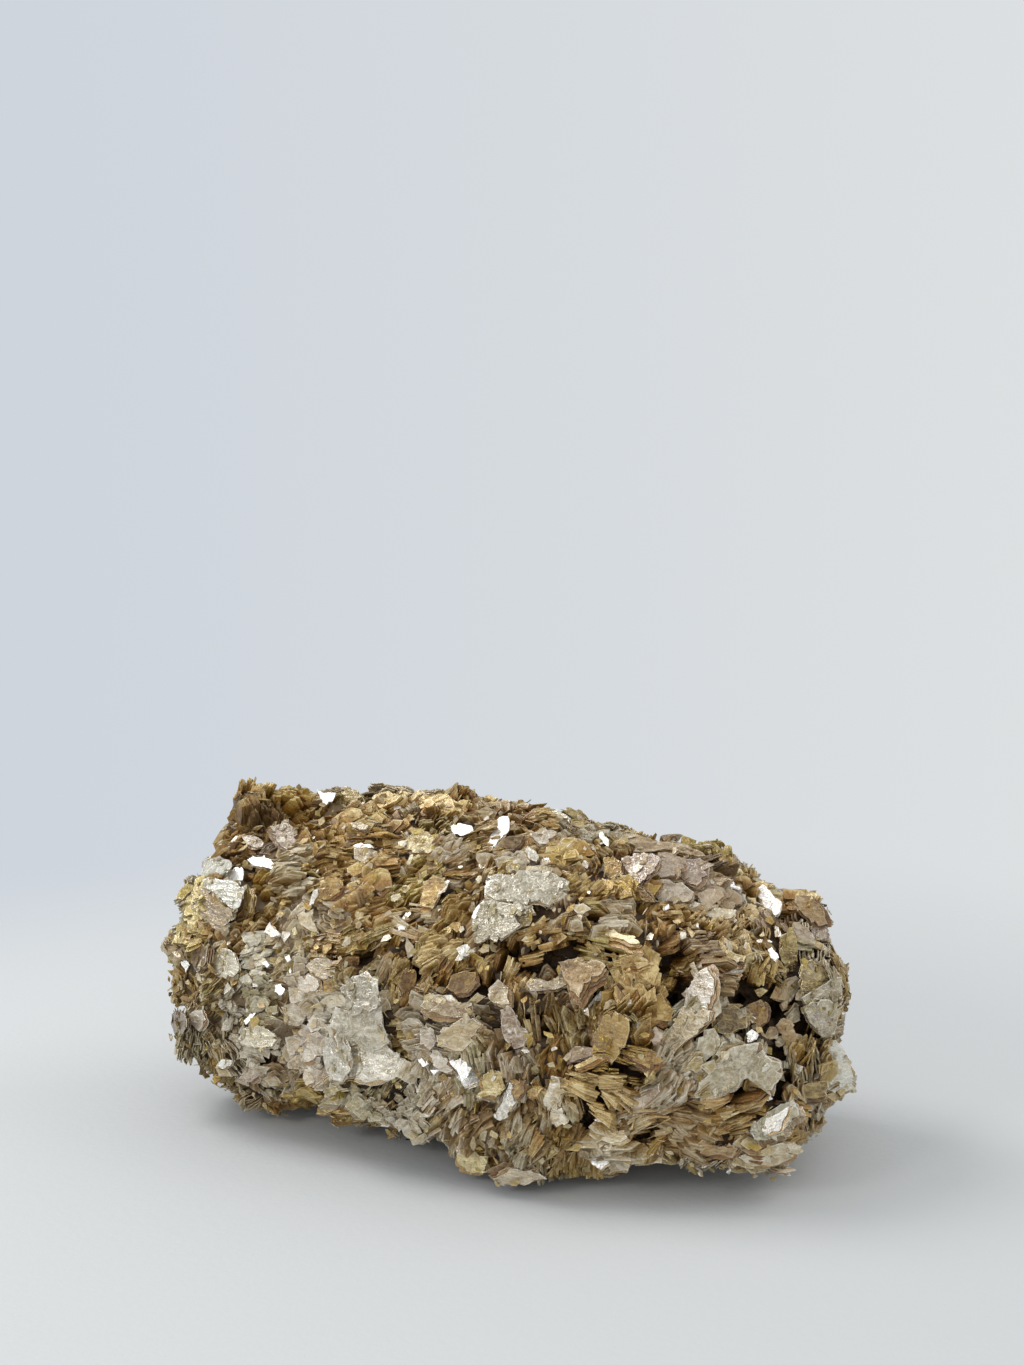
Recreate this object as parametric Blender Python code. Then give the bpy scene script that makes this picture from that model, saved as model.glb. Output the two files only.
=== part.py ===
"""A hand-sized lump of muscovite mica: books and plates of mica grown together into one solid.

The lump is one piece. Its groundmass is lofted through cross-sections, and the larger mica
books are fused to it where they grow out of it. It rests on the flats of its feet at z = 0.
Metres, +Z up. The origin is under the middle of the lump, on the surface that it stands on.
"""

import math
import random
from collections import namedtuple

import bmesh
import bpy
from mathutils import Matrix, Vector, noise
from mathutils.bvhtree import BVHTree

MM = 0.001

# --- driving dimensions -----------------------------------------------------------------------

# One cross-section of the groundmass, in millimetres. x is its place along the length. The other
# pairs are (y, z) of the points that the outline runs through, with -y at the front.
Section = namedtuple("Section", "x foot_front belly_front shoulder_front crest shoulder_back belly_back foot_back")

SECTIONS = (
    Section(-55.5, (-3, 9), (-6, 14), (-5, 24), (1, 30), (7, 28), (10, 21), (6, 11)),
    Section(-52, (-6, 5), (-10, 13), (-7, 31), (6, 47), (16, 43), (19, 24), (12, 6)),
    Section(-46, (-8, 2), (-13, 13), (-9, 32), (9, 50), (20, 45), (23, 25), (16, 4)),
    Section(-31, (-11, 3.5), (-17, 15), (-12, 33), (9, 50), (22, 44), (26, 25), (19, 3)),
    Section(-17, (-17, 3), (-21, 16), (-16, 33), (8, 50.5), (22, 45), (27, 25), (20, 4.5)),
    Section(-4, (-21, 2.5), (-25, 17), (-19, 36), (6, 50), (21, 45), (27, 25), (20, 4.5)),
    Section(9, (-25, 2), (-28, 16), (-20, 40), (4, 48.5), (20, 43), (26, 24), (19, 4)),
    Section(21, (-24, 3), (-27, 14), (-19, 38.5), (6, 45.5), (20, 40), (25, 22), (19, 3)),
    Section(33, (-22, 4), (-25, 13), (-15, 36.5), (8, 41), (19, 37), (23, 21), (18, 3.5)),
    Section(43, (-19.5, 3.5), (-22, 12), (-10, 34), (8, 37.5), (18, 34), (21, 19), (16, 4)),
    Section(48.5, (-15, 3.5), (-17, 12), (-6, 29), (7, 34), (14, 31), (17, 17), (11, 5)),
    Section(51, (-9, 6), (-10, 12), (-3, 23), (5, 27), (10, 24), (12, 16), (7, 8)),
)
RINGS_PER_SECTION = 1  # rings lofted from one section to the next
POINTS_PER_SPAN = 2  # points on the outline from one named point to the next

SWELL_HEIGHT = 1.3 * MM  # lumps of the groundmass
SWELL_LENGTH = 11 * MM

BOOK_COUNT = 275
FLAT_ACROSS = (9 * MM, 14 * MM)
FLAT_THICK = (2.2 * MM, 4 * MM)
FLAT_TILT = (4, 28)  # degrees between a flat-lying book's cleavage and the surface
FLAT_LIFT = (0.1, 0.5)  # share of its thickness that it stands proud
STEEP_ACROSS = (8 * MM, 12 * MM)
STEEP_THICK = (3 * MM, 6 * MM)
STEEP_TILT = (40, 80)  # the same for a book that shows its edges
STEEP_LIFT = (0.1, 0.26)  # share of its width that it stands proud
BOOK_CORNERS = (4, 5, 6)
STEPPED_SHARE = 0.25  # share of the books that end in a second, smaller step
SEED = 22

# One book that is placed by hand, in millimetres and degrees. at is its middle. yaw and pitch say
# where its cleavage faces: yaw 0 is the front, 90 the right end, and pitch 90 straight up. turn
# rotates it on its own face, anticlockwise as seen from outside.
Plate = namedtuple("Plate", "at yaw pitch wide high thick turn corners")

PLATES = {
    "clear_book": Plate((-49, -5.5, 35.5), -30, 15, 9, 8.5, 4.5, -20, 5),
    "corner_knob": Plate((-47, 7, 49), -60, 20, 8, 7, 6, 10, 6),
    "crown_plate": Plate((6.5, -14, 43), 5, 62, 13.5, 8, 2.6, 4, 6),
    "wrinkled_plate": Plate((2.5, -19, 38), -12, 35, 9.5, 7, 3, 10, 5),
    "veined_plate": Plate((-18, -21.5, 20.5), -8, 10, 11, 19, 3, -8, 6),
    "upper_ledge": Plate((-3, -24.5, 26.5), 4, 28, 13, 7, 3, -6, 5),
    "lower_ledge": Plate((-1.5, -26, 20.5), -6, -4, 12, 8, 3, 8, 6),
    "angled_plate": Plate((17, -22.5, 31.5), 2, 22, 7.5, 6, 4, 20, 4),
    "amber_plate": Plate((23, -25, 24), 14, 8, 10, 13, 3, 10, 6),
    "pink_block": Plate((34, -20, 28), 28, 20, 6.5, 13, 5, -30, 5),
    "torn_plate": Plate((39.5, -21, 18), 22, 10, 13.5, 8.5, 2.6, 5, 6),
    "tip_plate": Plate((51, -4.5, 12.5), 18, 12, 11, 8, 2.4, 15, 4),
    "end_plate": Plate((50, -6, 26), 55, 14, 9, 11, 3.4, 5, 5),
    "end_knob": Plate((46, 5, 36), 60, 35, 8, 8, 6, 0, 6),
    "rose_plate_left": Plate((22.5, -2.5, 43), 2, 48, 11, 9, 4, 0, 5),
    "rose_plate_right": Plate((30, -2.5, 41.5), 16, 44, 11, 8, 4, 25, 6),
    "crack_slab": Plate((27, 5, 44), 10, 74, 19, 9, 3, 6, 6),
    "silver_fan": Plate((45, -19, 11.5), 34, 34, 8.5, 7, 3, 10, 6),
    "base_plate": Plate((41, -22, 6), 20, -14, 16, 6, 3.4, 0, 6),
    "base_fan": Plate((9.5, -27, 3), 0, -12, 7.5, 5, 4, 0, 5),
}

# A crevice between books, in millimetres and degrees: its mouth is long by wide, and it narrows
# to a slit at its depth.
Crevice = namedtuple("Crevice", "at yaw pitch long wide deep turn")

CREVICES = (
    Crevice((12.5, -22.5, 36), 5, 25, 9, 2.6, 6, 8),
    Crevice((20, -24, 29.5), 10, 20, 8, 2.8, 6, 50),
    Crevice((31, -21.5, 27.5), 15, 25, 10, 3, 6, 55),
    Crevice((25, -26, 19), 12, 0, 5, 2.2, 5, 0),
    Crevice((44.5, -18, 20), 40, 10, 4, 2.4, 5, 20),
    Crevice((-8, -22, 31), -5, 30, 8, 2.4, 5, -35),
    Crevice((-33, -14, 30), -12, 40, 9, 2.4, 5, 30),
    Crevice((-20, 2, 49), 0, 80, 10, 2.6, 5, 15),
    Crevice((14, 12, 47), 175, 60, 11, 3, 6, -20),
    Crevice((-32, 25, 30), 182, 15, 10, 3, 6, 30),
    Crevice((-5, 27, 22), 178, 0, 12, 3, 6, -15),
    Crevice((30, 22, 26), 165, 20, 9, 3, 6, 40),
    Crevice((-54, 6, 26), -95, 25, 8, 2.6, 5, 10),
)

FEET = (  # x, y, across: where the lump touches down, in millimetres
    (-40, -4, 15),
    (8, -20, 18),
    (26, 14, 15),
    (-30, 15, 14),
)

MICA_COLOUR = (0.42, 0.32, 0.17, 1.0)
MICA_ROUGHNESS = 0.4
MICA_METALLIC = 0.0


def clear_scene():
    for thing in list(bpy.data.objects):
        bpy.data.objects.remove(thing, do_unlink=True)


def mica_material():
    material = bpy.data.materials.new("mica")
    material.use_nodes = True
    shader = material.node_tree.nodes["Principled BSDF"]
    shader.inputs["Base Color"].default_value = MICA_COLOUR
    shader.inputs["Roughness"].default_value = MICA_ROUGHNESS
    shader.inputs["Metallic"].default_value = MICA_METALLIC
    return material


# --- groundmass -------------------------------------------------------------------------------


def between(before, start, end, after, share):
    """A point on the smooth curve from start to end, which also heeds its two neighbours."""
    pull_start = (end - before) / 2
    pull_end = (after - start) / 2
    square, cube = share**2, share**3
    return (
        start * (2 * cube - 3 * square + 1)
        + pull_start * (cube - 2 * square + share)
        + end * (3 * square - 2 * cube)
        + pull_end * (cube - square)
    )


def outline(section):
    """The section's closed outline, as points in metres."""
    named = [Vector((section.x, y, z)) * MM for y, z in section[1:]]
    count = len(named)
    points = []
    for i in range(count):
        around = [named[(i + step) % count] for step in (-1, 0, 1, 2)]
        points += [between(*around, k / POINTS_PER_SPAN) for k in range(POINTS_PER_SPAN)]
    return points


def lofted_rings():
    """The outlines of all sections, with smooth rings between them."""
    outlines = [outline(section) for section in SECTIONS]
    last = len(outlines) - 1
    rings = []
    for i in range(last):
        before, after = outlines[max(i - 1, 0)], outlines[min(i + 2, last)]
        for k in range(RINGS_PER_SECTION):
            share = k / RINGS_PER_SECTION
            rings.append([between(*four, share) for four in zip(before, outlines[i], outlines[i + 1], after)])
    return rings + [outlines[last]]


def groundmass():
    """The lump's own bumpy body, under the books."""
    mesh = bmesh.new()
    rings = [[mesh.verts.new(point) for point in ring] for ring in lofted_rings()]
    around = len(rings[0])
    for ring, following in zip(rings, rings[1:]):
        for i in range(around):
            j = (i + 1) % around
            mesh.faces.new((ring[i], ring[j], following[j], following[i]))
    mesh.faces.new(rings[0][::-1])
    mesh.faces.new(rings[-1])
    bmesh.ops.recalc_face_normals(mesh, faces=mesh.faces)
    mesh.normal_update()
    for vert in mesh.verts:
        vert.co += vert.normal * SWELL_HEIGHT * noise.noise(vert.co / SWELL_LENGTH)
    ends = [face for face in mesh.faces if len(face.verts) > 4]
    bmesh.ops.poke(mesh, faces=ends)
    bmesh.ops.triangulate(mesh, faces=mesh.faces)
    return mesh


# --- mica books -------------------------------------------------------------------------------

Book = namedtuple("Book", "centre normal wide high thick corners stepped turn seed")

GOLDEN_ANGLE = math.pi * (3 - math.sqrt(5))
AXIS_MIDDLE = Vector((-0.002, 0, 0.024))  # the axis that growth spreads from runs along X, through here
AXIS_REACH = 0.05  # how far it runs to each side
END_POWER = 15  # the higher, the nearer its ends lie the rays that turn towards them

# Regions where plates lie flat and face outwards: x, y, z and radius in millimetres. Elsewhere
# the books stand steep and show their edges.
FLAT_REGIONS = (
    (-56, 0, 20, 19),
    (-20, -24, 14, 17),
    (0, -28, 24, 9),
    (8, -28, 4, 14),
    (14, -12, 44, 8),
    (28, -2, 44, 13),
    (52, 2, 20, 15),
    (36, -24, 14, 10),
    (-28, 26, 22, 16),
    (18, 26, 30, 13),
    (-12, 10, 0, 24),
)


def growth_ray(index, count):
    """The start and direction of the index-th of count rays that spread evenly from the axis."""
    along = 1 - (2 * index + 1) / count
    aside = math.sqrt(1 - along * along)
    turn = GOLDEN_ANGLE * index
    direction = Vector((along**END_POWER, aside * math.cos(turn), aside * math.sin(turn)))
    return AXIS_MIDDLE + Vector((AXIS_REACH * along, 0, 0)), direction.normalized()


def lies_flat(point):
    return any((point - Vector((x, y, z)) * MM).length < radius * MM for x, y, z, radius in FLAT_REGIONS)


def tilted(outward, degrees, heading):
    """outward, turned by that many degrees towards a heading round it."""
    side = outward.orthogonal().normalized()
    side.rotate(Matrix.Rotation(heading, 3, outward))
    return outward * math.cos(math.radians(degrees)) + side * math.sin(math.radians(degrees))


def grown_book(index, skin):
    """The index-th book, where its ray leaves the groundmass."""
    start, direction = growth_ray(index, BOOK_COUNT)
    rng = random.Random(SEED * 1000 + index)
    point, outward, _, _ = skin.ray_cast(start, direction)
    flat = lies_flat(point)
    across = rng.uniform(*(FLAT_ACROSS if flat else STEEP_ACROSS))
    thick = rng.uniform(*(FLAT_THICK if flat else STEEP_THICK))
    tilt = rng.uniform(*(FLAT_TILT if flat else STEEP_TILT))
    depth = thick if flat else across
    lift = depth * rng.uniform(*(FLAT_LIFT if flat else STEEP_LIFT))
    return Book(
        centre=point + outward * (lift - depth / 2),
        normal=tilted(outward, tilt, rng.uniform(0, math.tau)),
        wide=across,
        high=across,
        thick=thick,
        corners=rng.choice(BOOK_CORNERS),
        stepped=rng.random() < STEPPED_SHARE,
        turn=rng.uniform(0, math.tau),
        seed=index,
    )


def facing(yaw, pitch):
    """The direction that many degrees round from the front, and up from level."""
    level = math.cos(math.radians(pitch))
    return Vector((
        level * math.sin(math.radians(yaw)),
        -level * math.cos(math.radians(yaw)),
        math.sin(math.radians(pitch)),
    ))


def placed_book(seed, plate):
    """The book that a Plate describes."""
    return Book(
        centre=Vector(plate.at) * MM,
        normal=facing(plate.yaw, plate.pitch),
        wide=plate.wide * MM,
        high=plate.high * MM,
        thick=plate.thick * MM,
        corners=plate.corners,
        stepped=False,
        turn=math.radians(plate.turn),
        seed=seed,
    )


def on_face(centre, normal, turn):
    """The frame at centre whose Z is the normal, whose Y is as near upright as it can be, and which
    is then turned on that face."""
    upright = normal.to_track_quat("Z", "Y").to_matrix().to_4x4()
    return Matrix.Translation(centre) @ upright @ Matrix.Rotation(turn, 4, "Z")


def add_prism(mesh, place, outline, levels):
    """A closed solid through copies of the outline, each at a height, scaled and shifted aside."""
    rings = []
    for height, share, aside in levels:
        ring = [mesh.verts.new(place @ (Vector((x * share, y * share, height)) + aside)) for x, y in outline]
        rings.append(ring)
    mesh.faces.new(rings[0][::-1])
    mesh.faces.new(rings[-1])
    for lower, upper in zip(rings, rings[1:]):
        for i in range(len(outline)):
            j = (i + 1) % len(outline)
            mesh.faces.new((lower[i], lower[j], upper[j], upper[i]))


def add_book(mesh, book):
    """A closed prism with an uneven outline, and a smaller step on it if the book has one."""
    rng = random.Random(book.seed)
    outline = []
    for i in range(book.corners):
        angle = math.tau * (i + 0.5 + rng.uniform(-0.2, 0.2)) / book.corners
        reach = rng.uniform(0.8, 1.12) / 2
        outline.append((math.cos(angle) * reach * book.wide, math.sin(angle) * reach * book.high))
    shift = Vector((rng.uniform(-0.1, 0.1) * book.wide, rng.uniform(-0.1, 0.1) * book.high, 0))
    half, still = book.thick / 2, Vector()
    levels = [(-half, 1.0, still), (half, 0.93, still)]
    if book.stepped:
        ledge = 0.36 * half
        levels = [(-half, 1.0, still), (ledge, 0.95, still), (ledge, 0.72, shift), (half, 0.68, shift)]
    add_prism(mesh, on_face(book.centre, book.normal, book.turn), outline, levels)


def add_crevice(mesh, crevice):
    """A wedge whose mouth stands clear of the surface and whose floor is a slit."""
    long, wide, deep = crevice.long * MM / 2, crevice.wide * MM / 2, crevice.deep * MM
    outline = [(-long, 0), (-long * 0.3, -wide), (long * 0.5, -wide * 0.8), (long, 0), (long * 0.2, wide)]
    levels = [(-deep, 0.35, Vector()), (deep / 2, 1.1, Vector())]
    place = on_face(Vector(crevice.at) * MM, facing(crevice.yaw, crevice.pitch), math.radians(crevice.turn))
    add_prism(mesh, place, outline, levels)


def helper_object(name, mesh):
    """A guide or cutter, kept out of the model itself."""
    data = bpy.data.meshes.new(name)
    mesh.to_mesh(data)
    mesh.free()
    helper = bpy.data.objects.new(name, data)
    helper.hide_render = True
    helper.display_type = "WIRE"
    bpy.context.collection.objects.link(helper)
    return helper


def helper_collection(name, meshes):
    """The meshes as helpers of their own, in one collection."""
    collection = bpy.data.collections.new(name)
    bpy.context.scene.collection.children.link(collection)
    for i, mesh in enumerate(meshes):
        helper = helper_object(f"{name}_{i:03d}", mesh)
        bpy.context.collection.objects.unlink(helper)
        collection.objects.link(helper)
    return collection


def shaped(add, *details):
    """A new mesh with what add puts in it."""
    mesh = bmesh.new()
    add(mesh, *details)
    return mesh


def all_books(skin):
    books = [grown_book(i, skin) for i in range(BOOK_COUNT)]
    books += [placed_book(i, plate) for i, plate in enumerate(PLATES.values())]
    return helper_collection("book", [shaped(add_book, book) for book in books])


def all_crevices():
    return helper_collection("crevice", [shaped(add_crevice, crevice) for crevice in CREVICES])


# --- feet -------------------------------------------------------------------------------------

FOOT_TOP = 9 * MM
FOOT_DEPTH = 3 * MM  # how far a foot reaches below the floor before it is cut flat
FOOT_CORNERS = 7
FLOOR_CUT = (0.2, 0.2, 0.02)


def add_foot(mesh, x, y, across):
    """A stub with an uneven outline that widens upwards into the lump."""
    rng = random.Random(x)
    outline = []
    for i in range(FOOT_CORNERS):
        angle = math.tau * (i + rng.uniform(-0.3, 0.3)) / FOOT_CORNERS
        reach = rng.uniform(0.85, 1.15) * across / 2 * MM
        outline.append((math.cos(angle) * reach, math.sin(angle) * reach))
    levels = [(-FOOT_DEPTH, 0.72, Vector()), (FOOT_TOP, 1.2, Vector())]
    add_prism(mesh, Matrix.Translation(Vector((x, y, 0)) * MM), outline, levels)


def all_feet():
    return helper_collection("foot", [shaped(add_foot, *foot) for foot in FEET])


def floor_cutter():
    """A slab whose top is the surface that the lump stands on."""
    mesh = bmesh.new()
    bmesh.ops.create_cube(mesh, size=1)
    bmesh.ops.scale(mesh, verts=mesh.verts, vec=FLOOR_CUT)
    bmesh.ops.translate(mesh, verts=mesh.verts, vec=(0, 0, -FLOOR_CUT[2] / 2))
    return helper_object("floor_cutter", mesh)


# --- the lump ---------------------------------------------------------------------------------


def fuse(lump, name, operation, **operand):
    modifier = lump.modifiers.new(name, "BOOLEAN")
    modifier.operation = operation
    modifier.solver = "MANIFOLD"
    if "collection" in operand:
        modifier.operand_type = "COLLECTION"
    for key, value in operand.items():
        setattr(modifier, key, value)


def keep_largest_shell(mesh):
    """Removes the closed voids that neighbouring books shut in, and any chip that touches nothing."""
    left = set(mesh.verts)
    shells = []
    while left:
        front = [left.pop()]
        shell = set(front)
        while front:
            for edge in front.pop().link_edges:
                for vert in edge.verts:
                    if vert in left:
                        left.discard(vert)
                        shell.add(vert)
                        front.append(vert)
        shells.append(shell)
    largest = max(shells, key=len)
    loose = [vert for shell in shells if shell is not largest for vert in shell]
    bmesh.ops.delete(mesh, geom=loose, context="VERTS")


def centre_on_origin(mesh):
    """Brings the middle of the lump's box over the origin."""
    for axis in (0, 1):
        places = [vert.co[axis] for vert in mesh.verts]
        middle = (min(places) + max(places)) / 2
        for vert in mesh.verts:
            vert.co[axis] -= middle


def mica_crystal():
    body = groundmass()
    skin = BVHTree.FromBMesh(body)
    data = bpy.data.meshes.new("mica_crystal")
    body.to_mesh(data)
    body.free()
    lump = bpy.data.objects.new("mica_crystal", data)
    bpy.context.collection.objects.link(lump)
    fuse(lump, "grow_books", "UNION", collection=all_books(skin))
    fuse(lump, "open_crevices", "DIFFERENCE", collection=all_crevices())
    fuse(lump, "grow_feet", "UNION", collection=all_feet())
    fuse(lump, "flatten_feet", "DIFFERENCE", object=floor_cutter())

    graph = bpy.context.evaluated_depsgraph_get()
    fused = bmesh.new()
    fused.from_mesh(bpy.data.meshes.new_from_object(lump.evaluated_get(graph)))
    lump.modifiers.clear()
    keep_largest_shell(fused)
    centre_on_origin(fused)
    fused.to_mesh(data)
    fused.free()
    data.materials.clear()
    data.materials.append(mica_material())
    return lump


clear_scene()
mica_crystal()
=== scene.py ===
"""Looks of a hand-sized lump of muscovite mica: thousands of thin leaves in stacks, grown over the solid."""

import itertools
import math
from collections import namedtuple

import bpy
import numpy as np
from mathutils import Matrix, Vector, noise
from mathutils.bvhtree import BVHTree
from mathutils.kdtree import KDTree


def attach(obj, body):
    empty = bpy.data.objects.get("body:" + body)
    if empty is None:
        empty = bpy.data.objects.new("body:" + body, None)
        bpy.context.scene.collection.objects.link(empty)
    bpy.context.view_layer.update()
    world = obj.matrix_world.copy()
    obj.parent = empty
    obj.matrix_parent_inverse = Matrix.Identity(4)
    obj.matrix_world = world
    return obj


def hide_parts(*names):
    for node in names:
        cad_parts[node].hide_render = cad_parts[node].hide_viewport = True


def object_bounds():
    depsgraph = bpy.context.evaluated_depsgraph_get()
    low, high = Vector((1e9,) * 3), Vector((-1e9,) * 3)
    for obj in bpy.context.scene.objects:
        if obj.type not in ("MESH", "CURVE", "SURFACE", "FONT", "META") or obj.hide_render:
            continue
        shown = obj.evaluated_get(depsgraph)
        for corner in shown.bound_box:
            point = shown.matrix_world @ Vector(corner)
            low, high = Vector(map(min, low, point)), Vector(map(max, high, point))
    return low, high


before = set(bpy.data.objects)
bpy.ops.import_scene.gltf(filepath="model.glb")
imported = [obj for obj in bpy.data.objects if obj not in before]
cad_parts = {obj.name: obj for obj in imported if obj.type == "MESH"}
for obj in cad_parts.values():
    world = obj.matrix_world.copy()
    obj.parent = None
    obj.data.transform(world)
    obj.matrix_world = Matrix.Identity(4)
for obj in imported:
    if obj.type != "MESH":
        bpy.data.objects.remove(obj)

MM = 0.001
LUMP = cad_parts["mica_crystal"]
LUMP_LOW, LUMP_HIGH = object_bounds()
REACH_PAST = 1.02  # how far the leaves may reach past the lump's box, for its size
ABOVE_FLOOR = 0.1 * MM

# --- camera, light and floor ------------------------------------------------------------------

CAMERA_AT = Vector((85.7, -310.1, 117)) * MM
CAMERA_PITCH = 8  # degrees below level
CAMERA_YAW = 15  # degrees to the right of the front
CAMERA_LENS = 54.07  # mm
SENSOR = 36  # mm, the longer side, which is the height

# Four soft square lights, with their power in watts. The key comes from the left and above.
KEY_AT = Vector((-330, 40, 430)) * MM
KEY_ACROSS = 250 * MM
KEY_POWER = 1.5
FILL_AT = Vector((-250, -420, 260)) * MM
FILL_ACROSS = 130 * MM
FILL_POWER = 0.6
BACK_AT = Vector((380, 140, 330)) * MM
BACK_ACROSS = 350 * MM
BACK_POWER = 0.6
LOW_AT = Vector((60, -430, 120)) * MM
LOW_ACROSS = 300 * MM
LOW_POWER = 0.35
LIGHT_COLOUR = (1.0, 0.97, 0.925)
LIGHTS_AIM = Vector((0, 0, 25)) * MM

WALL_COOL = (0.62, 0.665, 0.72)
WALL_WARM = (0.78, 0.79, 0.775)
WALL_TURN = (-0.45, 0.25)  # where the surround turns from cool to warm, from left to right of the whole
FLOOR_RADIUS = 300 * MM
FLOOR_SOLID = 95 * MM  # the floor is whole within this radius, and then thins out to the backdrop
FLOOR_GONE = 230 * MM
FLOOR_COLOUR = (0.52, 0.535, 0.55)
FIBRE_SCALE = 900


def add_camera():
    """The camera, a little above the lump and to the right of its front."""
    data = bpy.data.cameras.new("camera")
    data.lens = CAMERA_LENS
    data.sensor_width = SENSOR
    data.clip_start = 0.01
    data.clip_end = 20
    camera = bpy.data.objects.new("camera", data)
    camera.location = CAMERA_AT
    camera.rotation_euler = (math.radians(90 - CAMERA_PITCH), 0, math.radians(CAMERA_YAW))
    bpy.context.collection.objects.link(camera)
    bpy.context.scene.camera = camera


def add_soft_light(name, place, across, power):
    """A square light that faces the lump."""
    data = bpy.data.lights.new(name, "AREA")
    data.shape = "SQUARE"
    data.size = across
    data.energy = power
    data.color = LIGHT_COLOUR
    light = bpy.data.objects.new(name, data)
    light.location = place
    light.rotation_euler = (LIGHTS_AIM - place).to_track_quat("-Z", "Y").to_euler()
    bpy.context.collection.objects.link(light)


def add_world():
    """A plain pale surround, a little cooler on the left than on the right."""
    world = bpy.data.worlds.new("studio")
    world.use_nodes = True
    bpy.context.scene.world = world
    tree = world.node_tree
    background = tree.nodes["Background"]
    place = tree.nodes.new("ShaderNodeTexCoord")
    parts = tree.nodes.new("ShaderNodeSeparateXYZ")
    span = tree.nodes.new("ShaderNodeMapRange")
    span.inputs["From Min"].default_value = WALL_TURN[0]
    span.inputs["From Max"].default_value = WALL_TURN[1]
    mix = tree.nodes.new("ShaderNodeMix")
    mix.data_type = "RGBA"
    mix.inputs[6].default_value = (*WALL_COOL, 1)
    mix.inputs[7].default_value = (*WALL_WARM, 1)
    tree.links.new(place.outputs["Generated"], parts.inputs[0])
    tree.links.new(parts.outputs["X"], span.inputs["Value"])
    tree.links.new(span.outputs[0], mix.inputs["Factor"])
    tree.links.new(mix.outputs[2], background.inputs["Color"])


def add_floor():
    """A pale paper floor that thins out into the surround, so that it has no edge from any side."""
    bpy.ops.mesh.primitive_circle_add(vertices=96, radius=FLOOR_RADIUS, fill_type="NGON", location=(0, 0, 0))
    floor = bpy.context.object
    floor.name = "floor"
    material = bpy.data.materials.new("pale_paper")
    material.use_nodes = True
    tree = material.node_tree
    shader = tree.nodes["Principled BSDF"]
    shader.inputs["Base Color"].default_value = (*FLOOR_COLOUR, 1)
    shader.inputs["Roughness"].default_value = 0.85
    shader.inputs["Specular IOR Level"].default_value = 0.2
    place = tree.nodes.new("ShaderNodeTexCoord")
    fibre = tree.nodes.new("ShaderNodeTexNoise")
    fibre.inputs["Scale"].default_value = FIBRE_SCALE
    fibre.inputs["Detail"].default_value = 4
    bump = tree.nodes.new("ShaderNodeBump")
    bump.inputs["Strength"].default_value = 0.25
    bump.inputs["Distance"].default_value = 0.0003
    reach = tree.nodes.new("ShaderNodeVectorMath")
    reach.operation = "LENGTH"
    span = tree.nodes.new("ShaderNodeMapRange")
    span.interpolation_type = "SMOOTHSTEP"
    span.inputs["From Min"].default_value = FLOOR_SOLID
    span.inputs["From Max"].default_value = FLOOR_GONE
    clear = tree.nodes.new("ShaderNodeBsdfTransparent")
    mix = tree.nodes.new("ShaderNodeMixShader")
    tree.links.new(place.outputs["Object"], fibre.inputs["Vector"])
    tree.links.new(fibre.outputs["Fac"], bump.inputs["Height"])
    tree.links.new(bump.outputs["Normal"], shader.inputs["Normal"])
    tree.links.new(place.outputs["Object"], reach.inputs[0])
    tree.links.new(reach.outputs["Value"], span.inputs["Value"])
    tree.links.new(span.outputs[0], mix.inputs["Fac"])
    tree.links.new(shader.outputs[0], mix.inputs[1])
    tree.links.new(clear.outputs[0], mix.inputs[2])
    tree.links.new(mix.outputs[0], tree.nodes["Material Output"].inputs["Surface"])
    floor.data.materials.append(material)


# --- mica materials ---------------------------------------------------------------------------

# Each leaf's mesh carries two attributes. In "leaf", red is its tone, from 0 dark to 1 pale; green
# says how far its hue strays; blue is 0 at its middle and 1 at its rim, where a highlight is
# painted; alpha is the light that reaches it, painted on as shade, from 0 deep in a crevice to 1.
# "lie" is the place within its stack in mm, where Z runs across the leaves.
LEAF_ATTRIBUTE = "leaf"
LIE_ATTRIBUTE = "lie"

# Light that is lost between the leaves: its colour at the bottom of a crevice and half way down.
DEEP_SHADE = (0.075, 0.032, 0.010, 1)
HALF_SHADE = (0.66, 0.475, 0.255, 1)

# Noise scales are in turns per metre, but for the edge lines, whose stretch is in turns per mm.
LINE_STRETCH = (0.4, 1.3, 3.4)
CLOUD_SCALE = 430
STAIN_SCALE = 150
SHADED_CREVICE_SCALE = 560
RELIEF_SCALE = 1300
VEINS = ((330, 0.032, 1.0), (640, 0.045, 0.8), (1150, 0.06, 0.5))  # scale, width and strength of each net
LEAF_BUMP = 0.2 * MM


def new_group(name, inputs, outputs):
    """An empty shader node group with those sockets, and its input and output nodes."""
    group = bpy.data.node_groups.new(name, "ShaderNodeTree")
    for title, kind, value in inputs:
        socket = group.interface.new_socket(name=title, in_out="INPUT", socket_type=kind)
        socket.default_value = value
    for title, kind in outputs:
        group.interface.new_socket(name=title, in_out="OUTPUT", socket_type=kind)
    return group, group.nodes.new("NodeGroupInput"), group.nodes.new("NodeGroupOutput")


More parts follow.
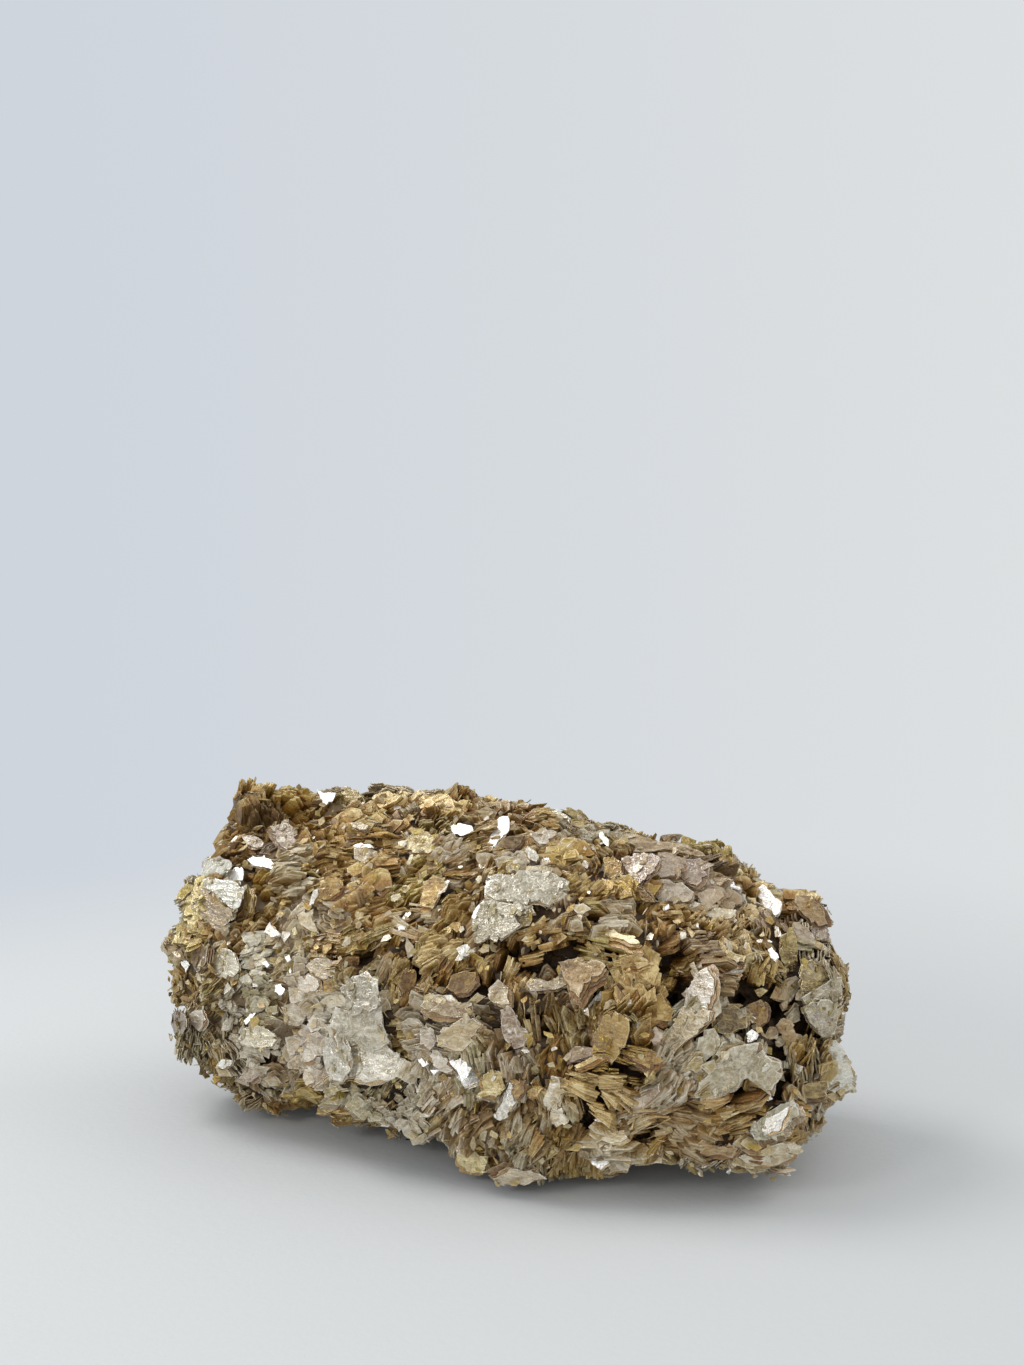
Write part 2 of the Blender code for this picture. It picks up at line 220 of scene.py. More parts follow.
class Wiring:
    """Short calls for making and linking shader nodes in one tree."""

    def __init__(self, tree):
        self.tree = tree

    def feed(self, socket, value):
        """Link an output to a socket, or set a plain value on it."""
        if isinstance(value, bpy.types.NodeSocket):
            self.tree.links.new(value, socket)
        else:
            socket.default_value = value

    def math(self, operation, first, second=0.0, third=0.0):
        """The output of a Math node."""
        made = self.tree.nodes.new("ShaderNodeMath")
        made.operation = operation
        for socket, value in zip(made.inputs, (first, second, third)):
            self.feed(socket, value)
        return made.outputs[0]

    def vector(self, operation, first, second):
        """The output of a Vector Math node."""
        made = self.tree.nodes.new("ShaderNodeVectorMath")
        made.operation = operation
        self.feed(made.inputs[0], first)
        self.feed(made.inputs[1], second)
        return made.outputs[0]

    def span(self, value, low, high, to_low=0.0, to_high=1.0):
        """A value taken from one range to another, and held at its ends."""
        made = self.tree.nodes.new("ShaderNodeMapRange")
        self.feed(made.inputs["Value"], value)
        for title, number in (("From Min", low), ("From Max", high), ("To Min", to_low), ("To Max", to_high)):
            made.inputs[title].default_value = number
        return made.outputs[0]

    def noise(self, place, scale, detail=3.0, roughness=0.5):
        """Smooth noise from 0 to 1 at a place."""
        made = self.tree.nodes.new("ShaderNodeTexNoise")
        self.feed(made.inputs["Vector"], place)
        made.inputs["Scale"].default_value = scale
        made.inputs["Detail"].default_value = detail
        made.inputs["Roughness"].default_value = roughness
        return made.outputs["Fac"]

    def mix(self, factor, first, second):
        """A blend of two colours."""
        made = self.tree.nodes.new("ShaderNodeMix")
        made.data_type = "RGBA"
        for index, value in ((0, factor), (6, first), (7, second)):
            self.feed(made.inputs[index], value)
        return made.outputs[2]


def mica_leaf_group():
    """Colour, roughness and relief of mica leaves: stained body, edge lines, cloudy veins, painted rim
    highlights and painted crevice shade.
    """
    group, inside, outside = new_group(
        "mica_leaf",
        [
            ("Dark", "NodeSocketColor", (0.1, 0.06, 0.03, 1)),
            ("Body", "NodeSocketColor", (0.3, 0.2, 0.1, 1)),
            ("Pale", "NodeSocketColor", (0.6, 0.5, 0.35, 1)),
            ("Stain", "NodeSocketColor", (0.3, 0.28, 0.12, 1)),
            ("Lines", "NodeSocketFloat", 0.8),
            ("Clouds", "NodeSocketFloat", 0.5),
            ("Veins", "NodeSocketFloat", 0.2),
            ("Rim", "NodeSocketFloat", 0.3),
            ("Gloss", "NodeSocketFloat", 0.35),
        ],
        [("Color", "NodeSocketColor"), ("Roughness", "NodeSocketFloat"), ("Height", "NodeSocketFloat")],
    )
    wire = Wiring(group)
    given = inside.outputs
    leaf = group.nodes.new("ShaderNodeVertexColor")
    leaf.layer_name = LEAF_ATTRIBUTE
    parts = group.nodes.new("ShaderNodeSeparateColor")
    wire.feed(parts.inputs[0], leaf.outputs["Color"])
    tone, stray, rim = parts.outputs[0], parts.outputs[1], parts.outputs[2]
    lie = group.nodes.new("ShaderNodeAttribute")
    lie.attribute_name = LIE_ATTRIBUTE
    place = group.nodes.new("ShaderNodeTexCoord").outputs["Object"]

    across_leaves = wire.vector("MULTIPLY", lie.outputs["Vector"], LINE_STRETCH)
    lines = wire.span(wire.noise(across_leaves, 1.0, 4, 0.62), 0.32, 0.68, -0.5, 0.5)
    clouds = wire.span(wire.noise(place, CLOUD_SCALE, 5, 0.62), 0.32, 0.68, -0.5, 0.5)
    grey = wire.math("MULTIPLY_ADD", lines, given["Lines"], tone)
    grey = wire.math("MULTIPLY_ADD", clouds, given["Clouds"], grey)
    dark_to_body = wire.mix(wire.span(grey, 0.0, 0.5), given["Dark"], given["Body"])
    body = wire.mix(wire.span(grey, 0.5, 1.0), dark_to_body, given["Pale"])
    patchy = wire.math("ADD", wire.noise(place, STAIN_SCALE, 3), stray)
    stained = wire.mix(wire.span(patchy, 0.7, 1.45, 0.0, 0.85), body, given["Stain"])

    thin = 0.0
    for scale, width, strength in VEINS:
        ridge = wire.math("ABSOLUTE", wire.math("SUBTRACT", wire.noise(place, scale, 1), 0.5))
        thin = wire.math("MAXIMUM", wire.span(ridge, 0.0, width, strength, 0.0), thin)
    veined = wire.mix(wire.math("MULTIPLY", thin, given["Veins"]), stained, given["Pale"])
    # Painted highlight: each leaf's rim is blended towards its pale colour.
    edge = wire.math("MULTIPLY", wire.math("POWER", rim, 4.0), given["Rim"])
    bare = wire.mix(edge, veined, given["Pale"])
    # Painted shade along thin crevice lines: the light that reaches a leaf drops to 0.6 on them.
    shaded_crevice_line = wire.math("ABSOLUTE", wire.math("SUBTRACT", wire.noise(place, SHADED_CREVICE_SCALE, 2), 0.43))
    lit = wire.math("MULTIPLY", leaf.outputs["Alpha"], wire.span(shaded_crevice_line, 0.0, 0.016, 0.6, 1.0))
    dim = wire.mix(wire.span(lit, 0.0, 0.5), DEEP_SHADE, HALF_SHADE)
    shade = wire.mix(wire.span(lit, 0.5, 1.0), dim, (1, 1, 1, 1))
    wire.feed(outside.inputs["Color"], wire.vector("MULTIPLY", bare, shade))

    haze = wire.math("MULTIPLY_ADD", clouds, 0.2, given["Gloss"])
    wire.feed(outside.inputs["Roughness"], haze)
    relief = wire.math("MULTIPLY_ADD", lines, 0.7, wire.noise(place, RELIEF_SCALE, 3, 0.55))
    wire.feed(outside.inputs["Height"], wire.math("MULTIPLY_ADD", thin, 0.3, relief))
    return group


# A finish has four colours. From 0 to 1 are then how strong its edge lines, clouds, veins and painted
# rim highlights are, its roughness, its pearly metal sheen, its clear coat and how far light passes through.
Finish = namedtuple("Finish", "dark body pale stain lines clouds veins rim gloss pearl coat glassy")

FINISHES = {
    "golden": Finish(
        dark=(0.125, 0.058, 0.010), body=(0.385, 0.242, 0.066), pale=(0.74, 0.63, 0.39),
        stain=(0.43, 0.29, 0.04),
        lines=0.65, clouds=0.35, veins=0.25, rim=0.8, gloss=0.34, pearl=0.4, coat=0.3, glassy=0,
    ),
    "amber": Finish(
        dark=(0.125, 0.052, 0.006), body=(0.350, 0.202, 0.040), pale=(0.70, 0.54, 0.25),
        stain=(0.45, 0.28, 0.03),
        lines=0.65, clouds=0.35, veins=0.25, rim=0.7, gloss=0.30, pearl=0.4, coat=0.35, glassy=0.3,
    ),
    "olive": Finish(
        dark=(0.110, 0.062, 0.012), body=(0.360, 0.255, 0.074), pale=(0.71, 0.63, 0.39),
        stain=(0.42, 0.31, 0.05),
        lines=0.65, clouds=0.35, veins=0.25, rim=0.8, gloss=0.32, pearl=0.4, coat=0.3, glassy=0.2,
    ),
    "dusky": Finish(
        dark=(0.080, 0.042, 0.014), body=(0.27, 0.175, 0.080), pale=(0.62, 0.53, 0.38),
        stain=(0.31, 0.19, 0.05),
        lines=0.65, clouds=0.35, veins=0.2, rim=0.7, gloss=0.36, pearl=0.35, coat=0.25, glassy=0,
    ),
    "pale": Finish(
        dark=(0.20, 0.126, 0.058), body=(0.45, 0.366, 0.228), pale=(0.78, 0.73, 0.61),
        stain=(0.47, 0.35, 0.12),
        lines=0.6, clouds=0.4, veins=0.4, rim=0.9, gloss=0.36, pearl=0.35, coat=0.2, glassy=0.2,
    ),
    "lilac": Finish(
        dark=(0.22, 0.148, 0.088), body=(0.47, 0.392, 0.292), pale=(0.77, 0.72, 0.635),
        stain=(0.48, 0.36, 0.16),
        lines=0.6, clouds=0.4, veins=0.4, rim=0.9, gloss=0.36, pearl=0.35, coat=0.2, glassy=0.2,
    ),
    "rose": Finish(
        dark=(0.20, 0.115, 0.064), body=(0.42, 0.312, 0.212), pale=(0.66, 0.57, 0.47),
        stain=(0.46, 0.33, 0.16),
        lines=0.55, clouds=0.4, veins=0.35, rim=0.6, gloss=0.30, pearl=0.3, coat=0.3, glassy=0.3,
    ),
    "green_grey": Finish(
        dark=(0.17, 0.117, 0.054), body=(0.42, 0.350, 0.208), pale=(0.76, 0.72, 0.59),
        stain=(0.43, 0.34, 0.11),
        lines=0.6, clouds=0.4, veins=0.45, rim=0.9, gloss=0.34, pearl=0.35, coat=0.25, glassy=0.3,
    ),
    "webbed": Finish(
        dark=(0.16, 0.118, 0.064), body=(0.35, 0.302, 0.205), pale=(0.75, 0.71, 0.60),
        stain=(0.38, 0.31, 0.13),
        lines=0.5, clouds=0.5, veins=0.55, rim=0.9, gloss=0.32, pearl=0.3, coat=0.4, glassy=0.3,
    ),
    "clear": Finish(
        dark=(0.22, 0.190, 0.118), body=(0.44, 0.412, 0.31), pale=(0.78, 0.77, 0.70),
        stain=(0.45, 0.38, 0.19),
        lines=0.5, clouds=0.4, veins=0.5, rim=0.9, gloss=0.30, pearl=0.4, coat=0.4, glassy=0.3,
    ),
    "silver": Finish(
        dark=(0.38, 0.34, 0.27), body=(0.68, 0.66, 0.60), pale=(0.90, 0.90, 0.88),
        stain=(0.60, 0.54, 0.42),
        lines=0.7, clouds=0.6, veins=0.3, rim=0.3, gloss=0.32, pearl=0.55, coat=0.3, glassy=0,
    ),
}


def mica_finish(name, finish, leaf_group):
    """The material of one finish, with the shared leaf group in it."""
    material = bpy.data.materials.new(name)
    material.use_nodes = True
    tree = material.node_tree
    shader = tree.nodes["Principled BSDF"]
    shader.inputs["IOR"].default_value = 1.58
    shader.inputs["Metallic"].default_value = finish.pearl
    shader.inputs["Coat Weight"].default_value = finish.coat
    shader.inputs["Transmission Weight"].default_value = finish.glassy
    shader.inputs["Coat Roughness"].default_value = 0.1
    look = tree.nodes.new("ShaderNodeGroup")
    look.node_tree = leaf_group
    for title in ("Dark", "Body", "Pale", "Stain"):
        look.inputs[title].default_value = (*getattr(finish, title.lower()), 1)
    for title in ("Lines", "Clouds", "Veins", "Rim", "Gloss"):
        look.inputs[title].default_value = getattr(finish, title.lower())
    bump = tree.nodes.new("ShaderNodeBump")
    bump.inputs["Strength"].default_value = 0.85
    bump.inputs["Distance"].default_value = LEAF_BUMP
    tree.links.new(look.outputs["Color"], shader.inputs["Base Color"])
    tree.links.new(look.outputs["Roughness"], shader.inputs["Roughness"])
    tree.links.new(look.outputs["Height"], bump.inputs["Height"])
    tree.links.new(bump.outputs["Normal"], shader.inputs["Normal"])
    return material


# Colours of the groundmass, painted shade for the deep crevices: near-black and dark brown, with a paler
# beige towards the left end above the foot.
GROUND_DEEP_SHADE = (0.010, 0.006, 0.004, 1)
GROUND_BROWN_SHADE = (0.11, 0.062, 0.028, 1)
GROUND_BEIGE = (0.30, 0.22, 0.13, 1)
BEIGE_LEFT = (-12 * MM, -30 * MM)  # the beige comes in between these places along the lump
BEIGE_UP = (5 * MM, 12 * MM)  # and between these heights
GROUND_BUMP = 0.4 * MM


def groundmass_shade_finish():
    """Painted shade deep between the stacks and at the foot: near-black to dark brown mica by its grain,
    paler beige towards the left end.
    """
    material = bpy.data.materials.new("groundmass")
    material.use_nodes = True
    tree = material.node_tree
    wire = Wiring(tree)
    shader = tree.nodes["Principled BSDF"]
    place = tree.nodes.new("ShaderNodeTexCoord").outputs["Object"]
    grain = wire.noise(wire.vector("MULTIPLY", place, (1, 1, 3)), 400, 6, 0.65)
    dark = wire.mix(wire.span(grain, 0.35, 0.75), GROUND_DEEP_SHADE, GROUND_BROWN_SHADE)
    parts = tree.nodes.new("ShaderNodeSeparateXYZ")
    wire.feed(parts.inputs[0], place)
    leftward = wire.span(parts.outputs[0], *BEIGE_LEFT, 0.0, 0.6)
    paler = wire.math("MULTIPLY", leftward, wire.span(parts.outputs[2], *BEIGE_UP))
    colour = wire.mix(paler, dark, GROUND_BEIGE)
    bump = tree.nodes.new("ShaderNodeBump")
    bump.inputs["Strength"].default_value = 0.9
    bump.inputs["Distance"].default_value = GROUND_BUMP
    tree.links.new(grain, bump.inputs["Height"])
    tree.links.new(colour, shader.inputs["Base Color"])
    tree.links.new(bump.outputs["Normal"], shader.inputs["Normal"])
    shader.inputs["Roughness"].default_value = 0.6
    shader.inputs["Specular IOR Level"].default_value = 0.3
    return material


GROUND_VOXEL = 1.1 * MM
GROUND_DEPTH = 1.5 * MM  # how far the groundmass lies below the tips of the stacks
GROUND_ABOVE_FLOOR = 0.2 * MM
CRUMB_ACROSS = 2.2 * MM
CRUMB_RELIEF = 1.4 * MM
CLEFT_DEPTH = 4 * MM


def apply_all_modifiers(thing):
    """Apply the modifiers of an object, in their order."""
    bpy.context.view_layer.objects.active = thing
    for modifier in list(thing.modifiers):
        bpy.ops.object.modifier_apply(modifier=modifier.name)


def add_groundmass(clefts):
    """The lump's own form drawn in by the depth of the stacks, with a crumbly face and deep clefts."""
    ground = bpy.data.objects.new("groundmass", LUMP.data.copy())
    bpy.context.collection.objects.link(ground)
    bpy.context.view_layer.objects.active = ground
    ground.select_set(True)
    bpy.ops.object.mode_set(mode="EDIT")
    bpy.ops.mesh.select_all(action="SELECT")
    bpy.ops.mesh.remove_doubles(threshold=1e-6)
    bpy.ops.object.mode_set(mode="OBJECT")
    voxels = ground.modifiers.new("voxels", "REMESH")
    voxels.mode = "VOXEL"
    voxels.voxel_size = GROUND_VOXEL
    apply_all_modifiers(ground)
    bpy.ops.object.mode_set(mode="EDIT")
    bpy.ops.mesh.select_all(action="SELECT")
    bpy.ops.transform.shrink_fatten(value=-GROUND_DEPTH)
    bpy.ops.object.mode_set(mode="OBJECT")
    crumble = ground.modifiers.new("crumble", "DISPLACE")
    crumble.texture = bpy.data.textures.new("crumble", "CLOUDS")
    crumble.texture.noise_scale = CRUMB_ACROSS
    crumble.texture.noise_depth = 3
    crumble.strength = CRUMB_RELIEF
    crumble.mid_level = 0.6
    apply_all_modifiers(ground)
    places = np.array([v.co for v in ground.data.vertices])
    for cleft in clefts:
        places[cleft.covers(places)] -= np.array(cleft.facing) * CLEFT_DEPTH
    places[:, 2] = np.maximum(places[:, 2], GROUND_ABOVE_FLOOR)
    ground.data.vertices.foreach_set("co", places.reshape(-1))
    ground.data.materials.clear()
    ground.data.materials.append(groundmass_shade_finish())
    ground.select_set(False)
    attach(ground, "root")
    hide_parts("mica_crystal")


# --- where the stacks grow --------------------------------------------------------------------

SEED = 7
BOOK_SPACING = 5.5 * MM  # stacks of one book share its lie and finish
BOOK_RELIEF = 0.55  # mm, how unevenly the books stand out
DEEPEST_BOOK = -0.6  # mm
STRAY_STACKS = 0.09  # the share of stacks that lie across their book
FIRST_SPACING = 1.45 * MM
WIDEST_SPACING = 1.9 * MM
FOOT_HEIGHT = 1.5 * MM  # below this nothing stands out of the lump, and no chips lie
RIM_POINTS = 6
MOST_BEND = 0.5  # mm
LINES_APART = 40  # mm that the edge lines of a leaf are moved at random, so that no two are alike
BOOK_LINES_APART = 9000  # the same for a book, for each metre between the seeds of two books

MOST_PROUD = 0.9  # mm that a stack may stand out of the lump
SUNK = 0.35  # mm that every stack is set into the lump
BORDER = 0.12  # the width of the border between two books, for their spacing
BORDER_SUNK = 1.1  # mm that a stack on a border may lie lower

# Light fades between the stacks: it is gone this low beside the lump's face, and whole above it, mm.
CREVICE_FLOOR = -2.0
CREVICE_DEPTH = 1.7

# How a kind of stack grows. In mm: spacing from stack to stack, leaf pitch, width of a stack, how
# far it stands proud. In degrees: tilt of the leaves from the surface, how far they fan out. Also
# the count of leaves, length for width, bend, how far each leaf strays from the last, at the ends
# and across, how dark the painted shade in its crevices is from 0 to 1, the finishes it may have
# and its range of tone. A solid stack has no gaps between its leaves.
KIND_FIELDS = (
    "solid spacing leaves pitch across long tilt proud fan bend stray_along stray_across gloom finishes tones"
)
KIND_PLAIN = (False, 0, (1, 1), 0.2, (1, 1), (1, 1), (0, 0), (0, 0), 0, 0, 0, 0, 0, (), (0, 1))
Kind = namedtuple("Kind", KIND_FIELDS, defaults=KIND_PLAIN)

KINDS = {
    "streaked": Kind(
        solid=True, spacing=1.45, leaves=(3, 6), pitch=0.37, across=(1.8, 3.1), long=(1.3, 2.4),
        tilt=(48, 88), proud=(-0.4, 0.7), fan=14, bend=0.08, stray_along=0.14, stray_across=0.12,
        gloom=0.85, finishes=(("golden", 0.60), ("amber", 0.06), ("olive", 0.18), ("pale", 0.16)),
        tones=(0.25, 0.65),
    ),
    "dark_lines": Kind(
        solid=True, spacing=1.45, leaves=(4, 6), pitch=0.35, across=(1.8, 3.1), long=(1.4, 2.4),
        tilt=(60, 90), proud=(-0.4, 0.6), fan=12, bend=0.08, stray_along=0.13, stray_across=0.12,
        gloom=0.9, finishes=(("dusky", 0.5), ("golden", 0.32), ("pale", 0.18)), tones=(0.2, 0.6),
    ),
    "fanned": Kind(
        solid=True, spacing=1.45, leaves=(3, 6), pitch=0.37, across=(1.8, 3.1), long=(1.5, 2.6),
        tilt=(45, 85), proud=(-0.4, 0.6), fan=24, bend=0.1, stray_along=0.14, stray_across=0.13,
        gloom=0.75, finishes=(("pale", 0.36), ("olive", 0.18), ("golden", 0.28), ("green_grey", 0.18)),
        tones=(0.25, 0.75),
    ),
    "wavy": Kind(
        solid=True, spacing=1.5, leaves=(3, 6), pitch=0.37, across=(1.9, 3.3), long=(1.6, 2.8),
        tilt=(50, 85), proud=(-0.4, 0.6), fan=16, bend=0.14, stray_along=0.13, stray_across=0.13,
        gloom=0.75, finishes=(("olive", 0.3), ("golden", 0.34), ("pale", 0.22), ("amber", 0.14)),
        tones=(0.25, 0.7),
    ),
    "petals": Kind(
        solid=False, spacing=1.6, leaves=(2, 4), pitch=0.32, across=(2.2, 4.4), long=(1.0, 1.6),
        tilt=(6, 45), proud=(-0.2, 0.7), fan=3, bend=0.08, stray_along=0.12, stray_across=0.12, gloom=0.4,
        finishes=(("lilac", 0.56), ("pale", 0.38), ("golden", 0.06)), tones=(0.35, 0.8),
    ),
    "plates": Kind(
        solid=False, spacing=1.6, leaves=(2, 4), pitch=0.32, across=(2.2, 4.6), long=(1.0, 1.7),
        tilt=(4, 50), proud=(-0.2, 0.7), fan=3, bend=0.06, stray_along=0.12, stray_across=0.12, gloom=0.5,
        finishes=(("pale", 0.44), ("green_grey", 0.22), ("lilac", 0.18), ("golden", 0.16)),
        tones=(0.3, 0.8),
    ),
    "scaly": Kind(
        solid=False, spacing=1.2, leaves=(2, 4), pitch=0.26, across=(1.2, 2.9), long=(1.0, 1.7),
        tilt=(8, 70), proud=(-0.3, 0.7), fan=5, bend=0.12, stray_along=0.14, stray_across=0.14,
        gloom=0.35, finishes=(("green_grey", 0.26), ("pale", 0.48), ("olive", 0.10), ("golden", 0.16)),
        tones=(0.35, 0.95),
    ),
    "rosy": Kind(
        solid=False, spacing=1.7, leaves=(2, 4), pitch=0.34, across=(2.6, 4.8), long=(1.1, 1.6),
        tilt=(4, 34), proud=(-0.1, 0.6), fan=2, bend=0.05, stray_along=0.12, stray_across=0.12, gloom=0.6,
        finishes=(("rose", 0.75), ("lilac", 0.25)), tones=(0.3, 0.75),
    ),
    "amber": Kind(
        solid=False, spacing=1.5, leaves=(2, 4), pitch=0.34, across=(2.0, 4.2), long=(1.1, 1.9),
        tilt=(10, 60), proud=(-0.2, 0.7), fan=3, bend=0.08, stray_along=0.12, stray_across=0.12,
        gloom=0.8, finishes=(("amber", 0.5), ("golden", 0.35), ("olive", 0.15)), tones=(0.25, 0.75),
    ),
    "olive": Kind(
        solid=False, spacing=1.45, leaves=(2, 4), pitch=0.32, across=(1.8, 3.8), long=(1.1, 1.8),
        tilt=(8, 60), proud=(-0.2, 0.7), fan=4, bend=0.1, stray_along=0.12, stray_across=0.12, gloom=0.75,
        finishes=(("olive", 0.5), ("golden", 0.33), ("pale", 0.17)), tones=(0.25, 0.8),
    ),
    "mixed": Kind(
        solid=True, spacing=1.45, leaves=(3, 6), pitch=0.36, across=(1.8, 3.3), long=(1.1, 2.1),
        tilt=(30, 85), proud=(-0.4, 0.7), fan=12, bend=0.1, stray_along=0.13, stray_across=0.13,
        gloom=0.75,
        finishes=(("golden", 0.40), ("pale", 0.30), ("olive", 0.14), ("amber", 0.06), ("dusky", 0.10)),
        tones=(0.25, 0.75),
    ),
}

# Patches of the lump where one kind rules: the way its leaf edges run, in degrees from level on
# the front, a step of tone, and its middle and reach in mm. The nearest patch for its reach counts.
Patch = namedtuple("Patch", "kind flow tone x y z reach", defaults=(0, 0, 0, 0, 0))

PATCHES = [Patch(*row) for row in (
    ("streaked", 82, 0.08, -44.5, 5, 47, 5),
    ("streaked", 40, 0.0, -36, 8, 49, 5),
    ("olive", 60, -0.05, -28, 9, 50, 3.5),
    ("streaked", 40, 0.1, -23, 8, 49, 5),
    ("streaked", 30, 0.0, -14, 8, 50, 6),
    ("dark_lines", 30, 0.1, -3, 12, 49, 6),
    ("streaked", 55, 0.0, -48, 1, 43, 5),
    ("petals", 20, 0.0, -36, 1, 45, 4),
    ("streaked", 38, 0.0, -28, -2, 43, 6),
    ("olive", 30, 0.1, -12.5, -0.5, 45.5, 4),
    ("streaked", 35, 0.02, -19, -6, 40, 7),
    ("streaked", 50, 0.05, -6, -3, 45, 5),
    ("dark_lines", 75, 0.0, 10, -2, 47, 4),
    ("plates", 20, 0.0, 15, -3, 49, 4),
    ("dark_lines", 75, -0.05, 17, -4, 46, 5),
    ("streaked", 70, -0.05, -39, -5, 38, 5),
    ("streaked", 35, 0.05, -30, -6, 39, 5),
    ("streaked", 60, 0.15, -9, -9, 40, 4),
    ("streaked", 45, -0.02, -2, -13, 40, 5),
    ("streaked", 65, -0.05, 17, -17, 41, 5),
    ("amber", 30, 0.0, 24, -10, 43, 4),
    ("rosy", 20, 0.0, 28, -3, 44, 8),
    ("mixed", 60, 0.1, 42, -1, 39, 5),
    ("streaked", 50, -0.12, -40, -9, 31, 6),
    ("olive", 40, 0.0, -50, -6, 30, 5),
    ("scaly", 40, 0.1, -43, -11, 26, 5),
    ("plates", 20, 0.1, -29, -10, 34, 4),
    ("streaked", 35, 0.0, -20, -14, 33, 5),
    ("streaked", 35, -0.12, -9, -16, 35, 7),
    ("streaked", 50, 0.0, 0, -19, 36, 5),
    ("streaked", 75, 0.0, 12.5, -20, 39, 3),
    ("streaked", 40, 0.0, 17, -20, 38, 5),
    ("streaked", 5, 0.0, 24, -19, 37, 5),
    ("dark_lines", 40, 0.2, 31, -13, 38, 5),
    ("streaked", 50, -0.05, 36, -9, 38, 4),
    ("olive", 30, 0.1, 42, -8, 35.5, 5.5),
    ("rosy", 30, -0.12, 49, 0, 37, 5),
    ("olive", 70, -0.1, 48, -5, 32, 3),
    ("scaly", 30, 0.15, -53, -6, 22, 7),
    ("scaly", 30, 0.1, -55, -2, 31, 5),
    ("scaly", 20, 0.1, -56, 2, 20, 7),
    ("scaly", 30, 0.1, -34, -13, 26, 7),
    ("petals", 10, 0.05, -25, -17, 23, 6),
    ("petals", 10, 0.0, -25, -18, 14, 6),
    ("streaked", 60, -0.16, -8, -19, 30, 5),
    ("streaked", 70, 0.0, 0, -22, 31, 4.5),
    ("streaked", 75, -0.02, 6.5, -22, 31, 4),
    ("plates", 10, 0.0, 13, -22, 32, 4),
    ("dark_lines", 45, -0.16, 14, -24, 28, 5),
    ("amber", 80, 0.0, 25, -24, 29, 7),
    ("streaked", 40, 0.0, 31, -17, 34, 5),
    ("streaked", 60, -0.08, 42, -14, 30, 5),
    ("streaked", 75, -0.05, 47, -11, 29, 4),
    ("plates", 70, 0.05, 52, -4, 27, 8),
    ("scaly", 20, 0.2, -51, -9, 14, 7),
    ("scaly", 20, 0.15, -40, -14, 18, 8),
    ("petals", 0, 0.0, -2, -26, 24, 6),
    ("amber", 60, 0.0, -8, -23, 23, 3),
    ("petals", 70, 0.0, 8, -26, 23, 4),
    ("fanned", 100, -0.05, 15, -26, 21, 7),
    ("amber", 40, 0.05, 27, -26, 21, 5),
    ("plates", 40, 0.1, 36, -21, 25, 5),
    ("dark_lines", 20, -0.1, 38, -20, 28, 3),
    ("scaly", 40, 0.1, 47, -15, 20, 6),
    ("scaly", 20, 0.1, -38, -13, 8, 8),
    ("petals", 20, 0.1, -27, -17, 9, 5),
    ("scaly", 20, 0.1, -14, -22, 9, 7),
    ("petals", 60, 0.05, -5, -24, 13, 5),
    ("fanned", 80, 0.0, 7, -28, 15, 6),
    ("streaked", 100, 0.1, 14, -27, 15, 5),
    ("fanned", 25, 0.05, 26, -26, 16, 7),
    ("plates", 10, 0.0, 41, -22, 18, 7),
    ("wavy", 5, 0.0, 45, -21, 11, 6),
    ("fanned", 60, 0.15, 5, -27, 5, 6),
    ("fanned", 80, 0.12, 14, -28, 8, 7),
    ("wavy", 15, 0.0, 26, -27, 8, 7),
    ("wavy", 0, 0.05, 36, -25, 9, 7),
    ("petals", 5, 0.05, 42, -24, 4, 7),
    ("plates", 40, 0.0, 51, -13, 12, 6),
    ("plates", 10, 0.05, -24, 25, 20, 12),
    ("scaly", 30, 0.0, 22, 24, 28, 10),
    ("rosy", 10, 0.0, 2, 26, 34, 8),
    ("wavy", 10, 0.0, 36, 20, 14, 11),
    ("petals", 0, 0.0, 6, 22, 8, 9),
)]
PATCH_PLACES = np.array([(p.x, p.y, p.z) for p in PATCHES]) * MM
PATCH_REACHES = np.array([p.reach for p in PATCHES]) * MM
PATCH_OVERREACH = 1.25  # a patch still counts this far out, for its reach
ELSEWHERE = ("streaked", "plates", "mixed", "scaly", "fanned", "petals", "olive")
ELSEWHERE_ACROSS = 11 * MM
FLOW_ACROSS = 25 * MM


def patch_at(point):
    """The patch that a point belongs to, or one drawn from slow noise where none reaches it."""
    gaps = np.linalg.norm(PATCH_PLACES - np.array(point), axis=1) / PATCH_REACHES
    nearest = int(gaps.argmin())
    if gaps[nearest] < PATCH_OVERREACH:
        return PATCHES[nearest]
    place = Vector(point)
    draw = noise.noise(place / ELSEWHERE_ACROSS) * 0.9 + 0.5
    kind = ELSEWHERE[int(min(0.999, max(0, draw)) * len(ELSEWHERE))]
    return Patch(kind, 35 + 60 * noise.noise(place / FLOW_ACROSS))


TRIES = 12  # places drawn for each square of the spacing
AROUND = tuple(itertools.product((-1, 0, 1), repeat=3))


